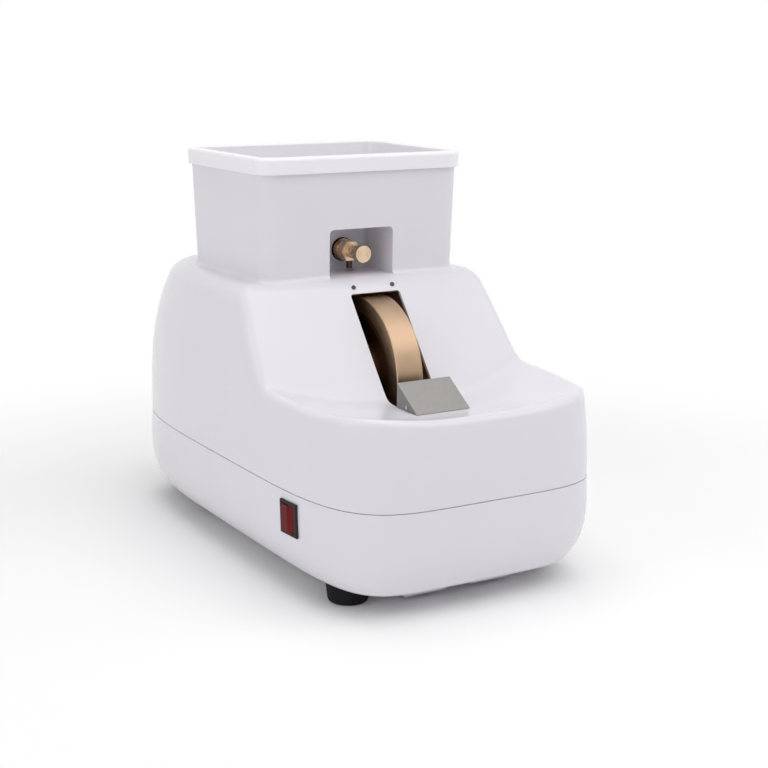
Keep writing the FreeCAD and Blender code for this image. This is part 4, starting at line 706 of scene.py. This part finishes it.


# %% [markdown]
# Each imported piece names its finish in the record. The table below makes one material for
# each of those names, and the loop hands them to the pieces of the frame. Three pieces get
# their own finishes from a short second table. The tank's finish is the cover's white plastic made
# lighter, which is painted light that brightens the shade inside the tank.

# %% One finish for each slot
brushed = (0.06, 1, 1)
drawn = (1, 1, 0.1)
finishes = {
    "white_plastic": white_plastic("white_plastic", (0.722, 0.702, 0.752), (0.766, 0.746, 0.794)),
    "tan_plastic": painted(
        "tan_plastic", (0.30, 0.19, 0.12), (0.42, 0.28, 0.19), 0.34, 1.2 * mm, 0.02 * mm
    ),
    "black_plastic": painted(
        "black_plastic", (0.028, 0.022, 0.027), (0.044, 0.036, 0.042), 0.50, 0.5 * mm, 0.02 * mm, 0.12
    ),
    "black_rubber": painted(
        "black_rubber", (0.010, 0.009, 0.011), (0.019, 0.018, 0.021), 0.60, 0.7 * mm, 0.03 * mm, 0.1
    ),
    "red_lens": red_lens("red_lens"),
    "bronze_bond": bronze_bond("bronze_bond"),
    "satin_sheet": metal(
        "satin_sheet", (0.23, 0.22, 0.212), (0.31, 0.30, 0.287), 0.40, 0.35 * mm, brushed
    ),
    "plated_sheet": metal("plated_sheet", (0.42, 0.42, 0.38), (0.60, 0.60, 0.56), 0.33, 3 * mm),
    "bright_steel": metal("bright_steel", (0.42, 0.42, 0.43), (0.58, 0.58, 0.59), 0.24, 0.4 * mm),
    "bright_brass": metal("bright_brass", (0.62, 0.45, 0.31), (0.86, 0.69, 0.50), 0.20, 0.5 * mm),
    "copper_tube": metal(
        "copper_tube", (0.07, 0.036, 0.034), (0.16, 0.085, 0.075), 0.28, 0.5 * mm, drawn
    ),
    "cast_aluminium": metal(
        "cast_aluminium", (0.40, 0.40, 0.40), (0.58, 0.58, 0.59), 0.42, 0.8 * mm, depth=0.04 * mm
    ),
    "painted_steel": painted(
        "painted_steel", (0.045, 0.048, 0.055), (0.075, 0.08, 0.09), 0.36, 1.5 * mm, 0.03 * mm
    ),
}
own_finish = {
    # Painted light: the tank gets a lighter copy of the cover's white plastic, to brighten the shade
    # inside it.
    "water_tank": white_plastic("tank_plastic_painted_light", (0.85, 0.83, 0.87), (0.89, 0.87, 0.91)),
    "wheel_hub": metal(
        "hub_brown", (0.13, 0.065, 0.032), (0.30, 0.165, 0.085), 0.36, 1.5 * mm, stain=0.2
    ),
    "panel_screws": metal("dark_screw", (0.05, 0.05, 0.055), (0.10, 0.10, 0.11), 0.42, 0.4 * mm),
}


def dress(piece, material):
    """Puts one material on all of a piece's slots."""
    if not piece.material_slots:
        piece.data.materials.append(material)
    for place in piece.material_slots:
        place.material = material


for entry in frame["record"]["subparts"]:
    node = entry["node"]
    dress(frame["nodes"][node], own_finish.get(node, finishes[entry["material_slot"]]))
dress(cover, finishes["white_plastic"])
print("finishes:", len(finishes) + len(own_finish))

# %% [markdown]
# The machine stands on pale paper that runs up into a backdrop. A lit sheet would turn grey
# where the light falls off, so the paper glows plain white a little way from the machine,
# though only for rays that come from the camera, a gloss or a glass. Close by, it is ordinary
# paper and keeps the machine's shadow.

# %% Floor and backdrop
stage_half = 6.0
stage_bend = 1.5
stage_parts = 3
stage_rows = 61
stage_columns = 3
shadow_near = 0.36
shadow_far = 0.85
paper_white = 0.97


def floor_profile(v):
    """Flat towards the front, then a quarter circle up, then a wall; v runs from 0 to 1."""
    run = v * stage_parts
    flat = np.clip(run, 0, 1) * 2 * stage_half - stage_half
    arc = np.clip(run - 1, 0, 1) * math.pi / 2
    y = flat + stage_bend * np.sin(arc)
    z = stage_bend * (1 - np.cos(arc)) + np.clip(run - 2, 0, 1) * stage_half
    return y, z


def floor_paper():
    """Paper that holds the shadow near the machine, and glows plain white farther away."""
    finish = Finish("floor_paper", Roughness=0.9)
    finish.feed("Base Color", (paper_white, paper_white, paper_white, 1))
    here = finish.place()
    distance = finish.node("ShaderNodeVectorMath", {"operation": "LENGTH"}, {0: here}, output="Value")
    seen = finish.node("ShaderNodeLightPath", output="Is Camera Ray")
    for ray in ("Is Glossy Ray", "Is Transmission Ray"):
        seen = finish.maths("MAXIMUM", seen, finish.node("ShaderNodeLightPath", output=ray))
    glow = finish.node("ShaderNodeEmission", {}, {"Color": (1, 1, 1, 1), "Strength": 1.0})
    share = finish.steps(distance, shadow_near, shadow_far) * seen
    paper = Value(finish, finish.shader.outputs[0])
    mixed = finish.node("ShaderNodeMixShader", {}, {0: share, 1: paper, 2: glow})
    surface = finish.tree.nodes["Material Output"].inputs["Surface"]
    finish.tree.links.new(mixed.socket, surface)
    return finish.material


def floor_piece():
    """Point = (u 2 half, y(v), z(v)), with u from side to side and v along the profile."""
    across = np.linspace(-1, 1, stage_columns)
    u, v = np.meshgrid(across, np.linspace(0, 1, stage_rows), indexing="xy")
    y, z = floor_profile(v)
    points = np.stack([u * 2 * stage_half, y, z], -1)
    piece = mesh_piece("floor", points, grid_faces(stage_rows, stage_columns, False, False))
    dress(piece, floor_paper())
    return piece


print("floor faces:", len(floor_piece().data.polygons))

# %% [markdown]
# The light is plain and soft: an even sky, a wide lamp above the front, one overhead and one
# at each side. Their strengths add up to about one on a surface that faces them, so a colour
# shows as it is written.

# %% Sky and lamps
sky = 0.50
lamp_aim = Vector((0, 0, 0.2))
lamps = (
    ("key", (0.3, -1.25, 2.1), (2.4, 1.8), 18.0),
    ("top", (0.0, 0.2, 2.4), (1.6, 1.6), 14.0),
    ("left", (-2.2, -0.3, 1.0), (1.2, 1.8), 9.0),
    ("right", (2.0, -1.0, 1.2), (1.2, 1.8), 5.0),
)


def world_light():
    """An even sky for the light, and plain white where the camera or a gloss looks past."""
    world = bpy.data.worlds.new("studio")
    bpy.context.scene.world = world
    world.use_nodes = True
    tree = world.node_tree
    background = tree.nodes["Background"]
    path = tree.nodes.new("ShaderNodeLightPath")
    seen = path.outputs["Is Camera Ray"]
    for ray in ("Is Glossy Ray", "Is Transmission Ray"):
        either = tree.nodes.new("ShaderNodeMath")
        either.operation = "MAXIMUM"
        tree.links.new(seen, either.inputs[0])
        tree.links.new(path.outputs[ray], either.inputs[1])
        seen = either.outputs[0]
    strength = tree.nodes.new("ShaderNodeMapRange")
    tree.links.new(seen, strength.inputs["Value"])
    strength.inputs["To Min"].default_value = sky
    strength.inputs["To Max"].default_value = 1.0
    tree.links.new(strength.outputs[0], background.inputs["Strength"])
    background.inputs["Color"].default_value = (1, 1, 1, 1)


def lamp(name, place, size, power):
    """A soft rectangle that faces the middle of the machine."""
    light = bpy.data.lights.new(name, "AREA")
    light.shape = "RECTANGLE"
    light.size, light.size_y = size
    light.energy = power
    holder = bpy.data.objects.new(name, light)
    bpy.context.scene.collection.objects.link(holder)
    holder.location = place
    holder.rotation_euler = (lamp_aim - Vector(place)).to_track_quat("-Z", "Y").to_euler()


world_light()
for name, place, size, power in lamps:
    lamp(name, place, size, power)
bpy.context.scene.view_settings.view_transform = "Standard"
print("lamps:", len(lamps))
